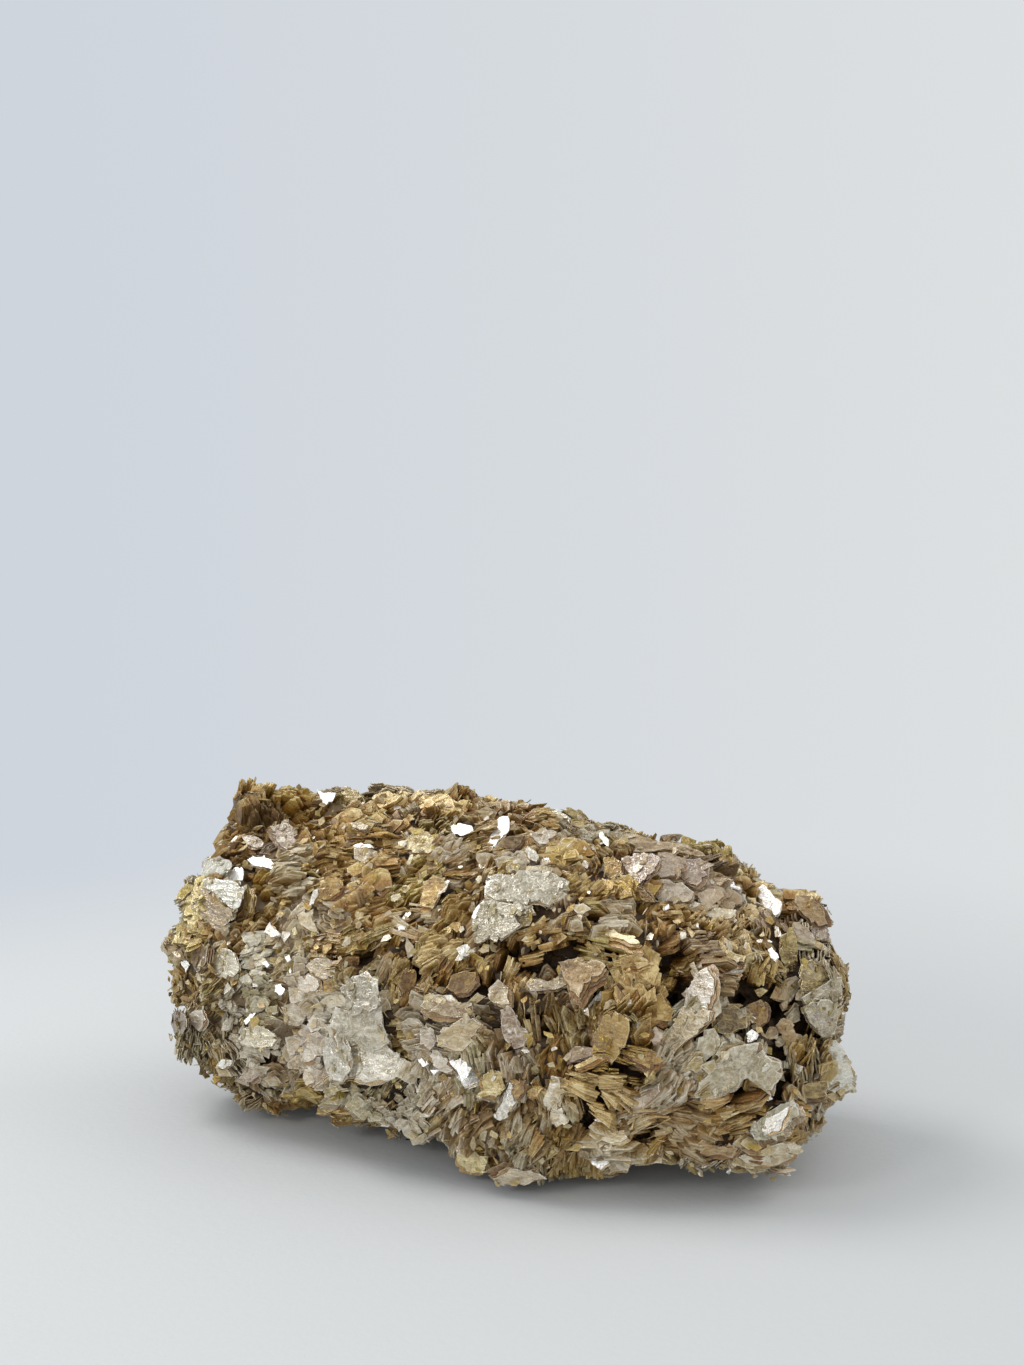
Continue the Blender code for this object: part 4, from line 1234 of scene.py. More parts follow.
    ("torn_plate", "webbed", (16, 16), 0.4, 3, (0.15, 0.1), 0.22,
     ((692, 1098), (699, 1081), (713, 1067), (730, 1048), (741, 1045), (759, 1043), (766, 1056),
      (780, 1062), (782, 1074), (775, 1084), (772, 1097), (766, 1088), (759, 1080), (752, 1077),
      (741, 1081), (737, 1091), (727, 1095), (710, 1101))),
    ("web_swirl", "olive", (10, 25), 0, 3, (0.1, 0.1), 0.3,
     ((711, 1021), (718, 1008), (735, 1005), (748, 1015), (747, 1028), (730, 1034), (714, 1032))),
    ("brown_window", "amber", (20, 20), 0.05, 3, (0.2, 0.1), 0.1,
     ((741, 1008), (760, 1000), (768, 1008), (766, 1022), (758, 1028), (749, 1018))),
    ("torn_plate_glint", "silver", GLINT, 0.98, 1, (0, 0), 0.06,
     ((746, 1034), (752, 1029), (759, 1035), (755, 1041), (748, 1042))),
    ("pink_block_low", "pale", (-20, 18), 0.4, 4, (0.3, 0.1), 0.12,
     ((659, 1058), (667, 1031), (683, 1006), (695, 1008), (710, 1012), (709, 1021), (699, 1029),
      (686, 1041), (668, 1059))),
    ("pink_block_high", "lilac", (-25, 20), 0.68, 4, (0.3, 0.1), 0.12,
     ((684, 1005), (697, 972), (707, 967), (714, 979), (713, 999), (708, 1010), (696, 1008))),
    ("pink_block_top", "silver", (10, 40), 0.7, 3, (0.2, -0.2), 0.12,
     ((714, 964), (730, 962), (744, 960), (745, 968), (731, 981), (718, 996), (716, 975))),
    ("streak_of_light", "golden", GLINT, 0.98, 4, (0.15, -0.3), 0.12,
     ((602, 931), (614, 929), (634, 936), (640, 943), (630, 944), (617, 938), (605, 935))),
    ("gold_ledge", "golden", (-5, 40), 0.58, 3, (0.1, -0.3), 0.12,
     ((613, 958), (628, 948), (642, 951), (649, 962), (640, 967), (627, 966), (614, 967))),
    ("greenish_book", "dusky", (-8, 40), 0.5, 4, (0.2, -0.3), 0.14,
     ((558, 962), (578, 957), (597, 960), (606, 966), (602, 973), (587, 983), (579, 998), (570, 990),
      (563, 975))),
    ("white_bits", "pale", (0, 35), 0.2, 3, (0.3, -0.1), 0.2,
     ((526, 984), (536, 979), (547, 982), (560, 975), (572, 975), (573, 981), (562, 987), (545, 990),
      (530, 991))),
    ("cream_triangle", "silver", GLINT, 0.8, 3, (0.1, -0.2), 0.1,
     ((581, 1012), (592, 1001), (601, 991), (603, 994), (600, 1021), (594, 1016))),
    ("amber_window_left", "amber", (-18, 4), 0.25, 5, (-0.25, -0.1), 0.08,
     ((593, 1034), (603, 1016), (615, 1011), (629, 1020), (627, 1040), (620, 1054), (612, 1064),
      (603, 1053), (593, 1046))),
    ("amber_window_right", "amber", (22, 12), 0.5, 4, (0.2, -0.2), 0.12,
     ((626, 997), (640, 999), (650, 998), (661, 992), (674, 1012), (672, 1021), (648, 1028), (632, 1019))),
    ("amber_foot", "amber", (10, 25), 0.35, 4, (0.15, -0.25), 0.12,
     ((620, 1052), (641, 1046), (655, 1051), (663, 1061), (650, 1069), (634, 1061))),
    ("rosy_cluster", "rose", (5, 25), 0.8, 2, (0.2, -0.2), 0.2,
     ((645, 1033), (656, 1026), (665, 1034), (660, 1046), (651, 1043))),
    ("grey_tongue", "lilac", (-2, 8), 0.1, 3, (-0.15, -0.1), 0.08,
     ((500, 1010), (508, 1005), (518, 1020), (528, 1032), (524, 1046), (514, 1049), (505, 1040),
      (501, 1023))),
    ("white_cluster", "pale", (0, 25), 0.4, 3, (0.2, -0.2), 0.3,
     ((488, 990), (498, 979), (508, 987), (510, 1004), (501, 1005), (489, 999))),
    ("veined_top", "webbed", (-22, 18), 0.3, 2, (-0.15, -0.2), 0.4,
     ((334, 1003), (343, 984), (352, 976), (366, 971), (378, 980), (381, 1002), (370, 1012), (352, 1016),
      (340, 1014))),
    ("veined_middle", "webbed", (-2, 6), 0.62, 2, (-0.15, -0.2), 0.5,
     ((330, 1026), (336, 1006), (350, 1012), (372, 1004), (382, 1006), (384, 1028), (390, 1042),
      (372, 1052), (352, 1046), (338, 1048))),
    ("veined_left", "webbed", (-34, 14), 0.66, 2, (-0.15, -0.2), 0.5,
     ((323, 1049), (330, 1028), (344, 1034), (352, 1048), (350, 1070), (342, 1082), (330, 1078),
      (324, 1066))),
    ("veined_low", "webbed", (-6, 24), 0.72, 3, (-0.15, -0.2), 0.5,
     ((344, 1050), (360, 1040), (384, 1042), (394, 1052), (406, 1059), (402, 1073), (387, 1081),
      (364, 1083), (346, 1078))),
    ("petal_a", "lilac", (-12, 15), 0.78, 3, (0.2, -0.1), 0.08,
     ((295, 976), (308, 973), (318, 980), (321, 992), (314, 999), (309, 1009), (304, 1004), (291, 1003),
      (290, 997), (298, 992))),
    ("petal_b", "lilac", (5, 12), 0.8, 3, (0.2, -0.2), 0.08,
     ((308, 1019), (315, 1010), (325, 1004), (328, 1010), (326, 1020), (321, 1030), (311, 1033),
      (307, 1026))),
    ("petal_c", "lilac", (-15, 14), 0.62, 3, (0.2, -0.2), 0.08,
     ((300, 1052), (308, 1038), (319, 1038), (322, 1047), (316, 1057), (309, 1062), (301, 1061))),
    ("petal_d", "lilac", (-5, 10), 0.8, 3, (0.15, -0.2), 0.08,
     ((304, 1069), (312, 1065), (317, 1072), (314, 1083), (307, 1086), (303, 1078))),
    ("petal_e", "pale", (-8, 22), 0.3, 3, (-0.15, -0.2), 0.12,
     ((305, 966), (315, 958), (326, 957), (336, 964), (336, 975), (328, 981), (316, 976))),
    ("petal_f", "pale", (-20, 12), 0.45, 3, (-0.15, -0.2), 0.12,
     ((281, 1007), (288, 1003), (301, 1005), (307, 1013), (302, 1024), (288, 1025))),
    ("petal_tan", "golden", (15, 12), 0.35, 3, (0.1, -0.1), 0.12,
     ((323, 981), (332, 979), (335, 987), (329, 997), (323, 993))),
    ("upper_ledge", "pale", (3, 24), 0.2, 4, (0.15, -0.3), 0.14,
     ((420, 1006), (429, 993), (441, 995), (454, 1000), (472, 1003), (471, 1013), (462, 1017),
      (446, 1016), (427, 1013))),
    ("ledge_lilac", "lilac", (-12, 8), 0.3, 3, (-0.15, -0.15), 0.1,
     ((420, 1031), (426, 1024), (434, 1030), (437, 1041), (430, 1050), (420, 1045))),
    ("lower_ledge", "pale", (8, 10), 0.42, 4, (0.15, -0.2), 0.14,
     ((436, 1036), (443, 1027), (462, 1018), (474, 1018), (482, 1024), (474, 1038), (463, 1051),
      (455, 1051), (439, 1047))),
    ("lilac_wedge", "lilac", (-6, 5), 0.58, 3, (0.1, -0.2), 0.08,
     ((430, 1056), (436, 1049), (447, 1058), (453, 1070), (446, 1073), (434, 1066))),
    ("quad_plate", "silver", (-12, 38), 0.8, 3, (0.1, -0.15), 0.16,
     ((446, 1060), (462, 1054), (466, 1060), (481, 1072), (477, 1082), (464, 1087), (456, 1076))),
    ("quad_glint", "silver", GLINT, 0.8, 1, (0, 0), 0.12,
     ((449, 1061), (461, 1058), (472, 1068), (468, 1078), (462, 1082))),
    ("low_glint_left", "silver", GLINT, 1.0, 1, (0, 0), 0.06,
     ((418, 1061), (423, 1055), (429, 1064), (423, 1067))),
    ("low_glint_right", "silver", GLINT, 1.0, 1, (0, 0), 0.04,
     ((429, 1070), (440, 1070), (434, 1075))),
    ("middle_triangle", "silver", (5, 40), 0.55, 2, (0.1, -0.1), 0.12,
     ((456, 949), (462, 945), (480, 946), (476, 952), (463, 958))),
    ("amber_middle", "amber", (15, 15), 0.05, 3, (0.15, -0.2), 0.12,
     ((447, 988), (455, 974), (476, 972), (478, 982), (468, 993), (455, 994))),
    ("amber_hollow", "amber", (30, 10), 0, 3, (0.15, -0.2), 0.12,
     ((397, 982), (406, 968), (416, 971), (415, 985), (402, 994))),
    ("white_blade", "silver", (-25, 12), 0.42, 2, (0.1, -0.1), 0.1,
     ((504, 1092), (510, 1082), (513, 1085), (513, 1097), (517, 1102), (509, 1112), (500, 1121),
      (495, 1118), (498, 1109), (503, 1101))),
    ("olive_book", "olive", (-5, 12), 0.66, 4, (-0.15, -0.2), 0.12,
     ((480, 1078), (493, 1069), (503, 1073), (505, 1086), (496, 1097), (485, 1095))),
    ("amber_chip_left", "amber", (10, 15), 0.05, 3, (0.1, -0.2), 0.1,
     ((511, 1090), (525, 1080), (524, 1092), (518, 1099), (511, 1095))),
    ("amber_chip_right", "amber", (0, 10), 0.62, 3, (0.1, -0.2), 0.08,
     ((525, 1091), (537, 1082), (543, 1088), (538, 1097), (529, 1098))),
    ("grey_torn_high", "pale", (-5, 5), 0.7, 3, (0.15, -0.1), 0.12,
     ((546, 1092), (551, 1076), (559, 1077), (561, 1100), (556, 1110), (547, 1113), (543, 1100))),
    ("grey_torn_low", "pale", (5, 5), 0.68, 3, (0.15, -0.1), 0.12,
     ((550, 1112), (562, 1107), (565, 1121), (557, 1127), (551, 1123))),
    ("base_plate", "olive", (-10, 5), 1, 4, (-0.1, -0.2), 0.1,
     ((457, 1152), (467, 1144), (488, 1156), (485, 1170), (471, 1173), (458, 1163))),
    ("base_fan", "pale", (0, -8), 0.4, 4, (-0.3, 0.1), 0.2,
     ((492, 1179), (510, 1169), (538, 1171), (547, 1179), (524, 1185), (499, 1185))),
    ("base_glint", "silver", GLINT, 0.9, 2, (0.1, -0.1), 0.2,
     ((588, 1159), (597, 1156), (607, 1157), (610, 1163), (601, 1170), (593, 1165))),
    ("base_pale", "pale", (5, 0), 0.55, 3, (0.1, -0.1), 0.1,
     ((608, 1162), (619, 1155), (631, 1160), (628, 1171), (608, 1175))),
    ("slant_gold", "golden", (-5, 30), 0.75, 3, (0.1, -0.3), 0.1,
     ((574, 1066), (589, 1058), (604, 1051), (607, 1056), (589, 1064), (577, 1069))),
    ("rosy_beige", "rose", (0, 15), 0.1, 3, (-0.1, -0.2), 0.12,
     ((565, 1055), (575, 1046), (593, 1048), (593, 1055), (580, 1059), (566, 1062))),
    ("slant_lilac", "lilac", (-10, 10), 0.2, 4, (0.15, -0.3), 0.14,
     ((622, 1118), (636, 1100), (660, 1083), (661, 1096), (644, 1109), (629, 1120))),
    ("silver_fan", "clear", (28, 25), 0.3, 5, (0.35, -0.1), 0.5,
     ((750, 1130), (761, 1118), (775, 1108), (787, 1102), (797, 1104), (799, 1115), (789, 1123),
      (783, 1135), (766, 1140), (755, 1140))),
    ("silver_fan_glint", "silver", GLINT, 0.8, 2, (0.3, -0.1), 0.3,
     ((752, 1128), (764, 1119), (783, 1109), (790, 1106), (787, 1115), (780, 1131), (766, 1135),
      (756, 1136))),
    ("low_pink", "dusky", (10, -5), 0.45, 4, (0.1, -0.25), 0.12,
     ((695, 1147), (702, 1140), (719, 1147), (740, 1147), (733, 1156), (707, 1156))),
    ("low_pale", "pale", (15, -10), 0.6, 4, (0.15, -0.1), 0.12,
     ((738, 1157), (761, 1152), (781, 1143), (796, 1146), (792, 1158), (775, 1166), (752, 1166))),
    ("low_gold", "golden", (20, 25), 0, 4, (0.1, -0.3), 0.12,
     ((741, 1150), (759, 1144), (781, 1137), (775, 1148), (759, 1157))),
    ("left_green", "green_grey", (-28, 18), 0.72, 3, (0.15, -0.2), 0.2,
     ((213, 955), (221, 948), (234, 954), (239, 970), (230, 979), (216, 976), (212, 968))),
    ("left_dark", "dusky", (-45, 15), 0.25, 4, (0.2, -0.2), 0.15,
     ((189, 948), (200, 940), (208, 947), (206, 962), (198, 972), (191, 958))),
    ("left_glint", "silver", GLINT, 0.85, 1, (0, 0), 0.06,
     ((181, 962), (186, 959), (190, 965), (186, 973))),
    ("hot_glint", "silver", GLINT, 1.0, 1, (0, 0), 0.02,
     ((275, 986), (281, 984), (286, 990), (281, 996), (275, 992))),
    ("left_sliver_glint", "silver", GLINT, 0.9, 1, (0, 0), 0.04,
     ((244, 1021), (250, 1014), (256, 1012), (252, 1020), (246, 1025))),
    ("small_glint_a", "silver", GLINT, 1.0, 1, (0, 0), 0.03,
     ((262, 963), (266, 961), (270, 965), (267, 968))),
    ("small_glint_b", "silver", GLINT, 1.0, 1, (0, 0), 0.03,
     ((285, 957), (289, 955), (291, 960), (287, 962))),
    ("left_olive", "dusky", (-60, 5), 0, 3, (0.2, -0.2), 0.12,
     ((169, 1015), (178, 1010), (187, 1017), (187, 1027), (178, 1029), (171, 1025))),
    ("left_pale_blob", "green_grey", (-15, 20), 0.68, 3, (-0.15, -0.2), 0.3,
     ((238, 1040), (244, 1028), (258, 1025), (270, 1031), (279, 1038), (272, 1047), (255, 1048),
      (241, 1044))),
    ("left_grey", "lilac", (-35, 8), 0.8, 3, (0.15, -0.2), 0.12,
     ((189, 1015), (202, 1010), (206, 1020), (199, 1031), (191, 1025))),
    ("left_pink", "rose", (-15, 5), 0.65, 3, (0.1, -0.25), 0.15,
     ((236, 1081), (244, 1068), (261, 1067), (264, 1071), (251, 1082))),
    ("left_white", "silver", (-20, 20), 0.3, 2, (0.1, -0.1), 0.15,
     ((217, 1065), (222, 1059), (233, 1060), (231, 1066), (223, 1069))),
)]


def cleft_sheet(name, outline):
    """A sheet with no leaves, which keeps a place clear of stacks."""
    return Sheet(name, "", CLEFT, 0, 0, (0, 0), 0, outline)


# Dark slots and pits that stay open between the stacks, and go deep into the groundmass.
CLEFTS = [cleft_sheet(*row) for row in (
    ("slot_under_band",
     ((526, 966), (540, 953), (562, 948), (588, 946), (586, 956), (562, 961), (538, 968))),
    ("long_diagonal", ((583, 999), (589, 982), (598, 963), (607, 952), (611, 956), (603, 974), (596, 990))),
    ("above_swirl", ((697, 1039), (707, 1029), (722, 1020), (733, 1017), (730, 1026), (714, 1034))),
    ("under_shoulder", ((659, 965), (665, 951), (674, 942), (678, 946), (671, 959))),
    ("right_of_slab", ((728, 1000), (739, 986), (753, 978), (754, 983), (742, 994))),
    ("under_amber", ((619, 1067), (632, 1062), (644, 1063), (639, 1070), (626, 1074))),
    ("right_hollow", ((740, 1011), (746, 998), (754, 991), (756, 997), (748, 1010))),
    ("left_of_slab", ((668, 1006), (679, 990), (690, 978), (693, 982), (684, 996))),
    ("left_of_low_slab", ((664, 1035), (669, 1020), (676, 1010), (678, 1015), (672, 1030))),
    ("right_pocket", ((768, 1030), (774, 1016), (786, 1011), (788, 1018), (778, 1029))),
    ("right_slot", ((770, 1009), (774, 994), (780, 988), (781, 994), (776, 1007))),
    ("end_pocket", ((798, 1034), (804, 1023), (812, 1019), (813, 1028), (804, 1036))),
    ("end_hole", ((772, 1056), (777, 1051), (781, 1055), (777, 1060))),
    ("middle_pocket", ((529, 1030), (537, 1022), (547, 1020), (545, 1028), (535, 1032))),
    ("beside_crown", ((592, 913), (596, 901), (600, 896), (600, 906), (597, 915))),
    ("under_torn", ((727, 1102), (735, 1095), (743, 1096), (737, 1104))),
    ("under_tip", ((776, 1095), (781, 1085), (789, 1086), (784, 1096))),
    ("under_wrinkled", ((504, 960), (507, 950), (512, 948), (511, 958))),
    ("left_of_white_cluster", ((478, 991), (482, 982), (488, 981), (485, 991))),
    ("above_veined", ((359, 960), (364, 955), (370, 956), (365, 962))),
    ("amber_pit", ((411, 974), (414, 967), (419, 968), (416, 976))),
    ("low_slot_left", ((583, 1107), (588, 1098), (598, 1093), (596, 1100), (587, 1107))),
    ("low_slot", ((578, 1133), (584, 1124), (591, 1123), (588, 1131))),
    ("low_slot_right", ((634, 1149), (638, 1138), (647, 1134), (644, 1144))),
    ("crack_under_slab", ((618, 853), (640, 851), (664, 853), (664, 855), (640, 855), (619, 856))),
    ("red_hole", ((263, 1062), (270, 1063), (274, 1072), (266, 1069))),
)]

# Hollows at the foot of the front, where the lump doesn't touch the floor and no stack grows.
GAPS = [cleft_sheet(*row) for row in (
    ("gap_right",
     ((600, 1188), (615, 1182), (650, 1186), (674, 1178), (707, 1173), (739, 1179), (756, 1178),
      (752, 1186), (700, 1192), (640, 1193))),
    ("gap_middle", ((405, 1147), (430, 1143), (450, 1151), (440, 1157), (415, 1155))),
    ("gap_left", ((275, 1114), (300, 1111), (322, 1119), (318, 1125), (290, 1123))),
)]


VIEW_HEIGHT = 1365
VIEW_MIDDLE = (512, 682.5)
VIEW_FOCUS = CAMERA_LENS / SENSOR * VIEW_HEIGHT
YAW_TURN = Matrix.Rotation(math.radians(CAMERA_YAW), 3, "Z")
PITCH_TURN = Matrix.Rotation(math.radians(90 - CAMERA_PITCH), 3, "X")
CAMERA_TURN = YAW_TURN @ PITCH_TURN


def sight(u, v):
    """The direction from the camera through a point of its frame."""
    ray = Vector((u - VIEW_MIDDLE[0], VIEW_MIDDLE[1] - v, -VIEW_FOCUS))
    return (CAMERA_TURN @ ray).normalized()


def facing_from(yaw, pitch):
    """The way that a sheet faces when it is turned to the right and up from the front, by degrees."""
    yaw, pitch = math.radians(yaw), math.radians(pitch)
    return Vector((math.sin(yaw) * math.cos(pitch), -math.cos(yaw) * math.cos(pitch), math.sin(pitch)))


TORN_ROUNDS = 2
TORN_ROUGHNESS = 0.11
POINTS_PER_TEAR = 9


def torn_edge(points, rng):
    """Split each side of an outline and push the new points in or out, in rounds, then add deep tears."""
    for _ in range(TORN_ROUNDS):
        split = []
        for a, b in zip(points, points[1:] + points[:1]):
            middle = (a + b) / 2
            push = Vector((-(b - a).y, (b - a).x)) * rng.uniform(-TORN_ROUGHNESS, TORN_ROUGHNESS)
            split += [a, middle + push]
        points = split
    centre = sum(points, Vector((0, 0))) / len(points)
    for tear in rng.choice(len(points), len(points) // POINTS_PER_TEAR, replace=False):
        points[tear] = points[tear].lerp(centre, rng.uniform(0.1, 0.3))
    return points


def inside_outline(corners, x, y):
    """Which of the places x, y lie inside an outline."""
    inside = np.zeros(len(x), bool)
    for a, b in zip(corners, corners[1:] + corners[:1]):
        crosses = (a.y > y) != (b.y > y)
        inside ^= crosses & (x < (b.x - a.x) * (y - a.y) / (b.y - a.y + 1e-9) + a.x)
    return inside


def near_outline(corners, x, y, margin):
    """Which of the places x, y lie within a margin of an outline."""
    near = np.zeros(len(x), bool)
    for a, b in zip(corners, corners[1:] + corners[:1]):
        run = b - a
        share = np.clip(((x - a.x) * run.x + (y - a.y) * run.y) / run.length_squared, 0, 1)
        near |= np.hypot(x - a.x - share * run.x, y - a.y - share * run.y) < margin
    return near


CLEFT_MARGIN = 1.1  # mm round a cleft in which no stack grows
CLEFT_REACH = 6  # mm before and behind a cleft's plane
SHEET_KEPT_CLEAR = 0.78  # the share of a sheet's reach in which no stack grows
SHEET_BEHIND = 3.2  # mm behind a sheet that are kept clear
SHEET_BEFORE = 2.0
SHEET_LIFT = 0.2 * MM
GLINT_LIFT = 1.0 * MM
SHEET_THICKNESS = 0.22  # mm
SHEET_GAP = 0.05  # mm from leaf to leaf
SHEET_DISTANCE = 0.33  # m from the camera to a sheet whose ray misses the lump


class Lying:
    """Where a sheet lies: its middle, its axes, and its outline in the plane in mm."""

    def __init__(self, sheet, tree, rng):
        self.sheet = sheet
        u = sum(p[0] for p in sheet.outline) / len(sheet.outline)
        v = sum(p[1] for p in sheet.outline) / len(sheet.outline)
        ray = sight(u, v)
        hit, normal, _, _ = tree.ray_cast(CAMERA_AT, ray)
        if hit is None:
            hit, normal, _, _ = tree.find_nearest(CAMERA_AT + ray * SHEET_DISTANCE)
        outward = outward_at(hit, normal)
        if sheet.lie == FLAT:
            self.facing = shaken(outward, rng, 0.12)
        elif sheet.lie == GLINT:
            self.facing = glint_facing(hit, tree)
        elif sheet.lie == CLEFT:
            self.facing = -ray
        else:
            self.facing = facing_from(*sheet.lie)
        self.middle = hit - ray * (GLINT_LIFT if sheet.lie == GLINT else SHEET_LIFT)
        self.right = (Vector((1, 0, 0)) - self.facing * self.facing.x).normalized()
        self.up = self.facing.cross(self.right)
        self.outline = []
        for u, v in sheet.outline:
            way = sight(u, v)
            reach = (self.middle - CAMERA_AT).dot(self.facing) / way.dot(self.facing)
            offset = CAMERA_AT + way * reach - self.middle
            self.outline.append(Vector((offset.dot(self.right), offset.dot(self.up))) / MM)

    def covers(self, points):
        """Which points lie under the sheet, so that no stack grows through it."""
        offset = points - np.array(self.middle)
        depth = offset @ np.array(self.facing) / MM
        x, y = offset @ np.array(self.right) / MM, offset @ np.array(self.up) / MM
        if self.sheet.lie == CLEFT:
            kept_clear = inside_outline(self.outline, x, y) | near_outline(self.outline, x, y, CLEFT_MARGIN)
            return kept_clear & (np.abs(depth) < CLEFT_REACH)
        corners = [corner * SHEET_KEPT_CLEAR for corner in self.outline]
        return inside_outline(corners, x, y) & (depth > -SHEET_BEHIND) & (depth < SHEET_BEFORE)


# A leaf of a sheet is a flattened globe. This is how far out each of its circles lies, from near its
# middle to its rim, and the same for the leaves below the uppermost, of which little shows.
CIRCLES_OUT = (0.3, 0.6, 0.87, 0.975, 1.0)
CIRCLES_UNDER = (0.7, 0.96, 1.0)
CRUMPLE_ACROSS = 1.6  # mm


def crumple_texture():
    """The clouds by which the faces of the sheets are crumpled."""
    texture = bpy.data.textures.new("crumple", "CLOUDS")
    texture.noise_scale = CRUMPLE_ACROSS
    texture.noise_depth = 3
    return texture


def sheet_leaf(sheet, lying, level, texture, rng):
    """One torn, crumpled leaf of a sheet, as an object in the sheet's own plane and in mm."""
    corners = [c * rng.uniform(0.97, 1.03) for c in lying.outline] if level else list(lying.outline)
    shift = Vector(sheet.step) * level + Vector(rng.normal(size=2)) * 0.08 * level
    rim = torn_edge([c + shift for c in corners], rng)
    circles_out = CIRCLES_UNDER if level else CIRCLES_OUT
    circles = len(circles_out)
    bpy.ops.mesh.primitive_uv_sphere_add(segments=len(rim), ring_count=2 * circles, radius=1)
    leaf = bpy.context.object
    middle = sum(rim, Vector((0, 0))) / len(rim)
    shares = []
    for vertex in leaf.data.vertices:
        circle = round(math.acos(max(-1, min(1, vertex.co.z))) / math.pi * 2 * circles)
        rank = min(circle, 2 * circles - circle)
        out = circles_out[rank - 1] if rank else 0
        angle = math.atan2(vertex.co.y, vertex.co.x)
        place = middle.lerp(rim[round(angle / math.tau * len(rim)) % len(rim)], out)
        side = (circle < circles) - (circle > circles)
        vertex.co = (place.x, place.y, side * SHEET_THICKNESS / 2)
        shares.append(rank / circles)
    if sheet.crumple:
        crumple = leaf.modifiers.new("crumple", "DISPLACE")
        crumple.texture = texture
        crumple.direction = "Z"
        crumple.strength = sheet.crumple * 2
        crumple.mid_level = 0.5
    apply_all_modifiers(leaf)
    return leaf, shares


def add_attributes(mesh, shades, lies):
    """Give a mesh its leaf and lie attributes."""
    attribute = mesh.color_attributes.new(LEAF_ATTRIBUTE, "FLOAT_COLOR", "POINT")
    attribute.data.foreach_set("color", shades.reshape(-1))
    lie = mesh.attributes.new(LIE_ATTRIBUTE, "FLOAT_VECTOR", "POINT")
    lie.data.foreach_set("vector", lies.astype(np.float32).reshape(-1))


def held_inside(places):
    """Places held near the lump's box and above the floor."""
    low = np.array(LUMP_LOW) * REACH_PAST
    high = np.array(LUMP_HIGH) * REACH_PAST
    low[2] = ABOVE_FLOOR
    return np.clip(places, low, high)


def finish_leaf(leaf, sheet, lying, level, shares, rng):
    """Give a leaf its tone and lie attributes, and set it in its place."""
    mesh = leaf.data
    places = np.array([v.co for v in mesh.vertices])
    shares = np.array(shares)
    size = np.abs(places[:, :2]).max()
    # A painted shading: each leaf is a little lighter on one side than the other, in a random direction.
    slope = rng.normal(size=2) * 0.1
    shades = np.ones((len(places), 4), np.float32)
    shades[:, 0] = sheet.tone + places[:, :2] @ slope / size + rng.normal() * 0.12 * (level > 0)
    shades[:, 0] = np.clip(shades[:, 0], 0, 1)
    shades[:, 1] = rng.random() * 0.5
    # The rim value that places the painted rim highlight, on the outermost circles.
    shades[:, 2] = np.clip(shares * 5 - 3, 0, 1)
    # Painted shade on the leaves below the uppermost: dark under the leaf above, and fully lit at their own
    # rim.
    if level:
        shades[:, 3] = np.clip(0.35 + (shares - 0.6) * 2.5, 0.35, 1)
    add_attributes(mesh, shades, places + rng.uniform(-LINES_APART, LINES_APART, 3))
    sink = -level * (SHEET_THICKNESS + SHEET_GAP)
    axes = Matrix((lying.right, lying.up, lying.facing)).transposed()
    mesh.transform(axes.to_4x4() @ Matrix.Translation((0, 0, sink)))
    mesh.transform(Matrix.Translation(lying.middle) @ Matrix.Scale(MM, 4))
    places = held_inside(np.array([v.co for v in mesh.vertices]))
    mesh.vertices.foreach_set("co", places.reshape(-1))
    mesh.update()


def add_sheet(sheet, lying, texture, material, rng):
    """Make one sheet, all its leaves joined in one piece."""
    leaves = []
    for level in range(sheet.leaves):
        leaf, shares = sheet_leaf(sheet, lying, level, texture, rng)
        finish_leaf(leaf, sheet, lying, level, shares, rng)
        leaves.append(leaf)
    for leaf in leaves:
        leaf.select_set(True)
    bpy.context.view_layer.objects.active = leaves[0]
    if len(leaves) > 1:
        bpy.ops.object.join()
    piece = bpy.context.object
    piece.name = piece.data.name = sheet.name
    piece.data.shade_smooth()
    piece.data.set_sharp_from_angle(angle=math.radians(38))
    piece.data.materials.clear()
    piece.data.materials.append(material)
    piece.select_set(False)
    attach(piece, "root")


def add_sheets(finishes, tree, rng):
    """Make every sheet as a piece of its own, and give back where each one lies."""
    texture = crumple_texture()
    lyings = []
    for sheet in SHEETS:
        lying = Lying(sheet, tree, rng)
        lyings.append(lying)
        add_sheet(sheet, lying, texture, finishes[sheet.finish], rng)
    return lyings


LITTER = Kind(
    leaves=(1, 2), pitch=0.2, across=(0.4, 1.5), long=(1.0, 2.2), fan=4, bend=0.06, stray_along=0.1,
    stray_across=0.1,
)
LITTER_SPACING = 1.6  # mm from flake to flake on a sheet
LITTER_SAME = 0.85  # the share of flakes that have their sheet's own finish
LITTER_FINISHES = (("pale", 0.5), ("green_grey", 0.34), ("golden", 0.06), ("silver", 0.1))


def litter_sheet(piles, lying, rng):
    """Small flakes and scales that lie on one sheet and over its edges."""
    sheet = lying.sheet
    reach_x = max(abs(corner.x) for corner in lying.outline)
    reach_y = max(abs(corner.y) for corner in lying.outline)
    count = int(4 * reach_x * reach_y / LITTER_SPACING**2)
    spots = rng.uniform(-1, 1, (count, 2)) * (reach_x, reach_y)
    for x, y in spots[inside_outline(lying.outline, spots[:, 0], spots[:, 1])]:
        place = np.array(lying.middle + (lying.right * x + lying.up * y) * MM)
        axes = stack_axes(shaken(lying.facing, rng, 0.16), Vector(rng.normal(size=3)))
        same = rng.random() < LITTER_SAME
        tone = np.clip(sheet.tone + rng.normal() * 0.2, 0, 1)
        finish = sheet.finish if same else pick(rng, LITTER_FINISHES)
        spot = Spot(axes, place, np.array(lying.facing), rng.uniform(0.08, 0.4), tone, rng.random(), None)
        loose_stack(piles[finish], rng, LITTER, spot)


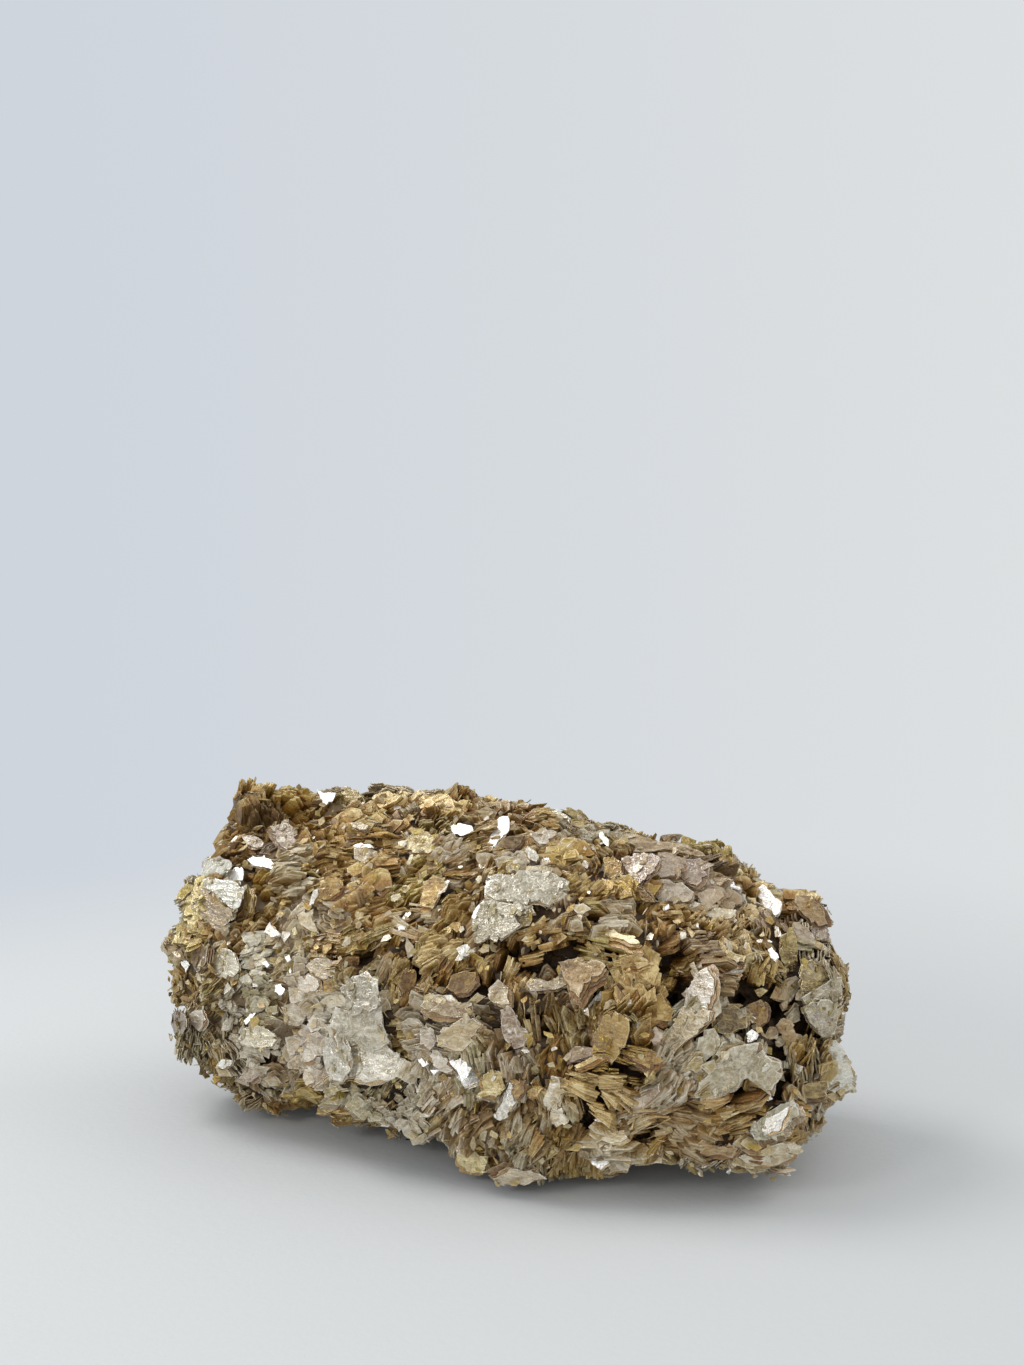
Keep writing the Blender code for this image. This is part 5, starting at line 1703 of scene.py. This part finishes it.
def mesh_object(name, verts, faces, shades, lies, material):
    """An object from arrays of corners, triangles and attributes."""
    mesh = bpy.data.meshes.new(name)
    mesh.vertices.add(len(verts))
    mesh.vertices.foreach_set("co", verts.astype(np.float32).reshape(-1))
    mesh.loops.add(len(faces) * 3)
    mesh.loops.foreach_set("vertex_index", faces.astype(np.int32).reshape(-1))
    mesh.polygons.add(len(faces))
    mesh.polygons.foreach_set("loop_start", (np.arange(len(faces)) * 3).astype(np.int32))
    mesh.update(calc_edges=True)
    add_attributes(mesh, shades, lies)
    mesh.shade_smooth()
    mesh.set_sharp_from_angle(angle=math.radians(28))
    mesh.materials.append(material)
    made = bpy.data.objects.new(name, mesh)
    bpy.context.collection.objects.link(made)
    return made


MOST_FACES = 190000


def join_pile(name, pile, material):
    """Join a pile into as few pieces as the limit on faces lets it have."""
    pieces = math.ceil(pile.face_count / MOST_FACES)
    per_piece = math.ceil(len(pile.verts) / pieces)
    for k in range(pieces):
        part = slice(k * per_piece, (k + 1) * per_piece)
        verts = held_inside(np.concatenate(pile.verts[part]))
        faces = np.concatenate(pile.faces[part])
        faces -= faces.min()
        shades, lies = np.concatenate(pile.shades[part]), np.concatenate(pile.lies[part])
        made = mesh_object(f"{name}_leaves_{k + 1}", verts, faces, shades, lies, material)
        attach(made, "root")


def main():
    """Build the camera, the lights and the floor, and then the mica from its groundmass out."""
    for thing in bpy.context.selected_objects:
        thing.select_set(False)
    add_camera()
    add_soft_light("key", KEY_AT, KEY_ACROSS, KEY_POWER)
    add_soft_light("fill", FILL_AT, FILL_ACROSS, FILL_POWER)
    add_soft_light("back", BACK_AT, BACK_ACROSS, BACK_POWER)
    add_soft_light("low", LOW_AT, LOW_ACROSS, LOW_POWER)
    add_world()
    add_floor()
    leaf_group = mica_leaf_group()
    finishes = {name: mica_finish(name, finish, leaf_group) for name, finish in FINISHES.items()}
    rng = np.random.default_rng(SEED)
    tree = BVHTree.FromPolygons(
        [v.co for v in LUMP.data.vertices], [tuple(p.vertices) for p in LUMP.data.polygons]
    )
    clefts = [Lying(cleft, tree, rng) for cleft in CLEFTS]
    gaps = [Lying(gap, tree, rng) for gap in GAPS]
    add_groundmass(clefts)
    sheets = add_sheets(finishes, tree, np.random.default_rng(SEED + 1))
    kept_clear = sheets + clefts + gaps
    piles = {name: Pile() for name in FINISHES}
    grow_stacks(piles, kept_clear, rng)
    scatter_chips(piles, kept_clear, tree, rng)
    for lying in sheets:
        if lying.sheet.lie != GLINT:
            litter_sheet(piles, lying, rng)
    for name, pile in piles.items():
        if pile.verts:
            join_pile(name, pile, finishes[name])


main()
bpy.context.scene.view_settings.view_transform = "Standard"
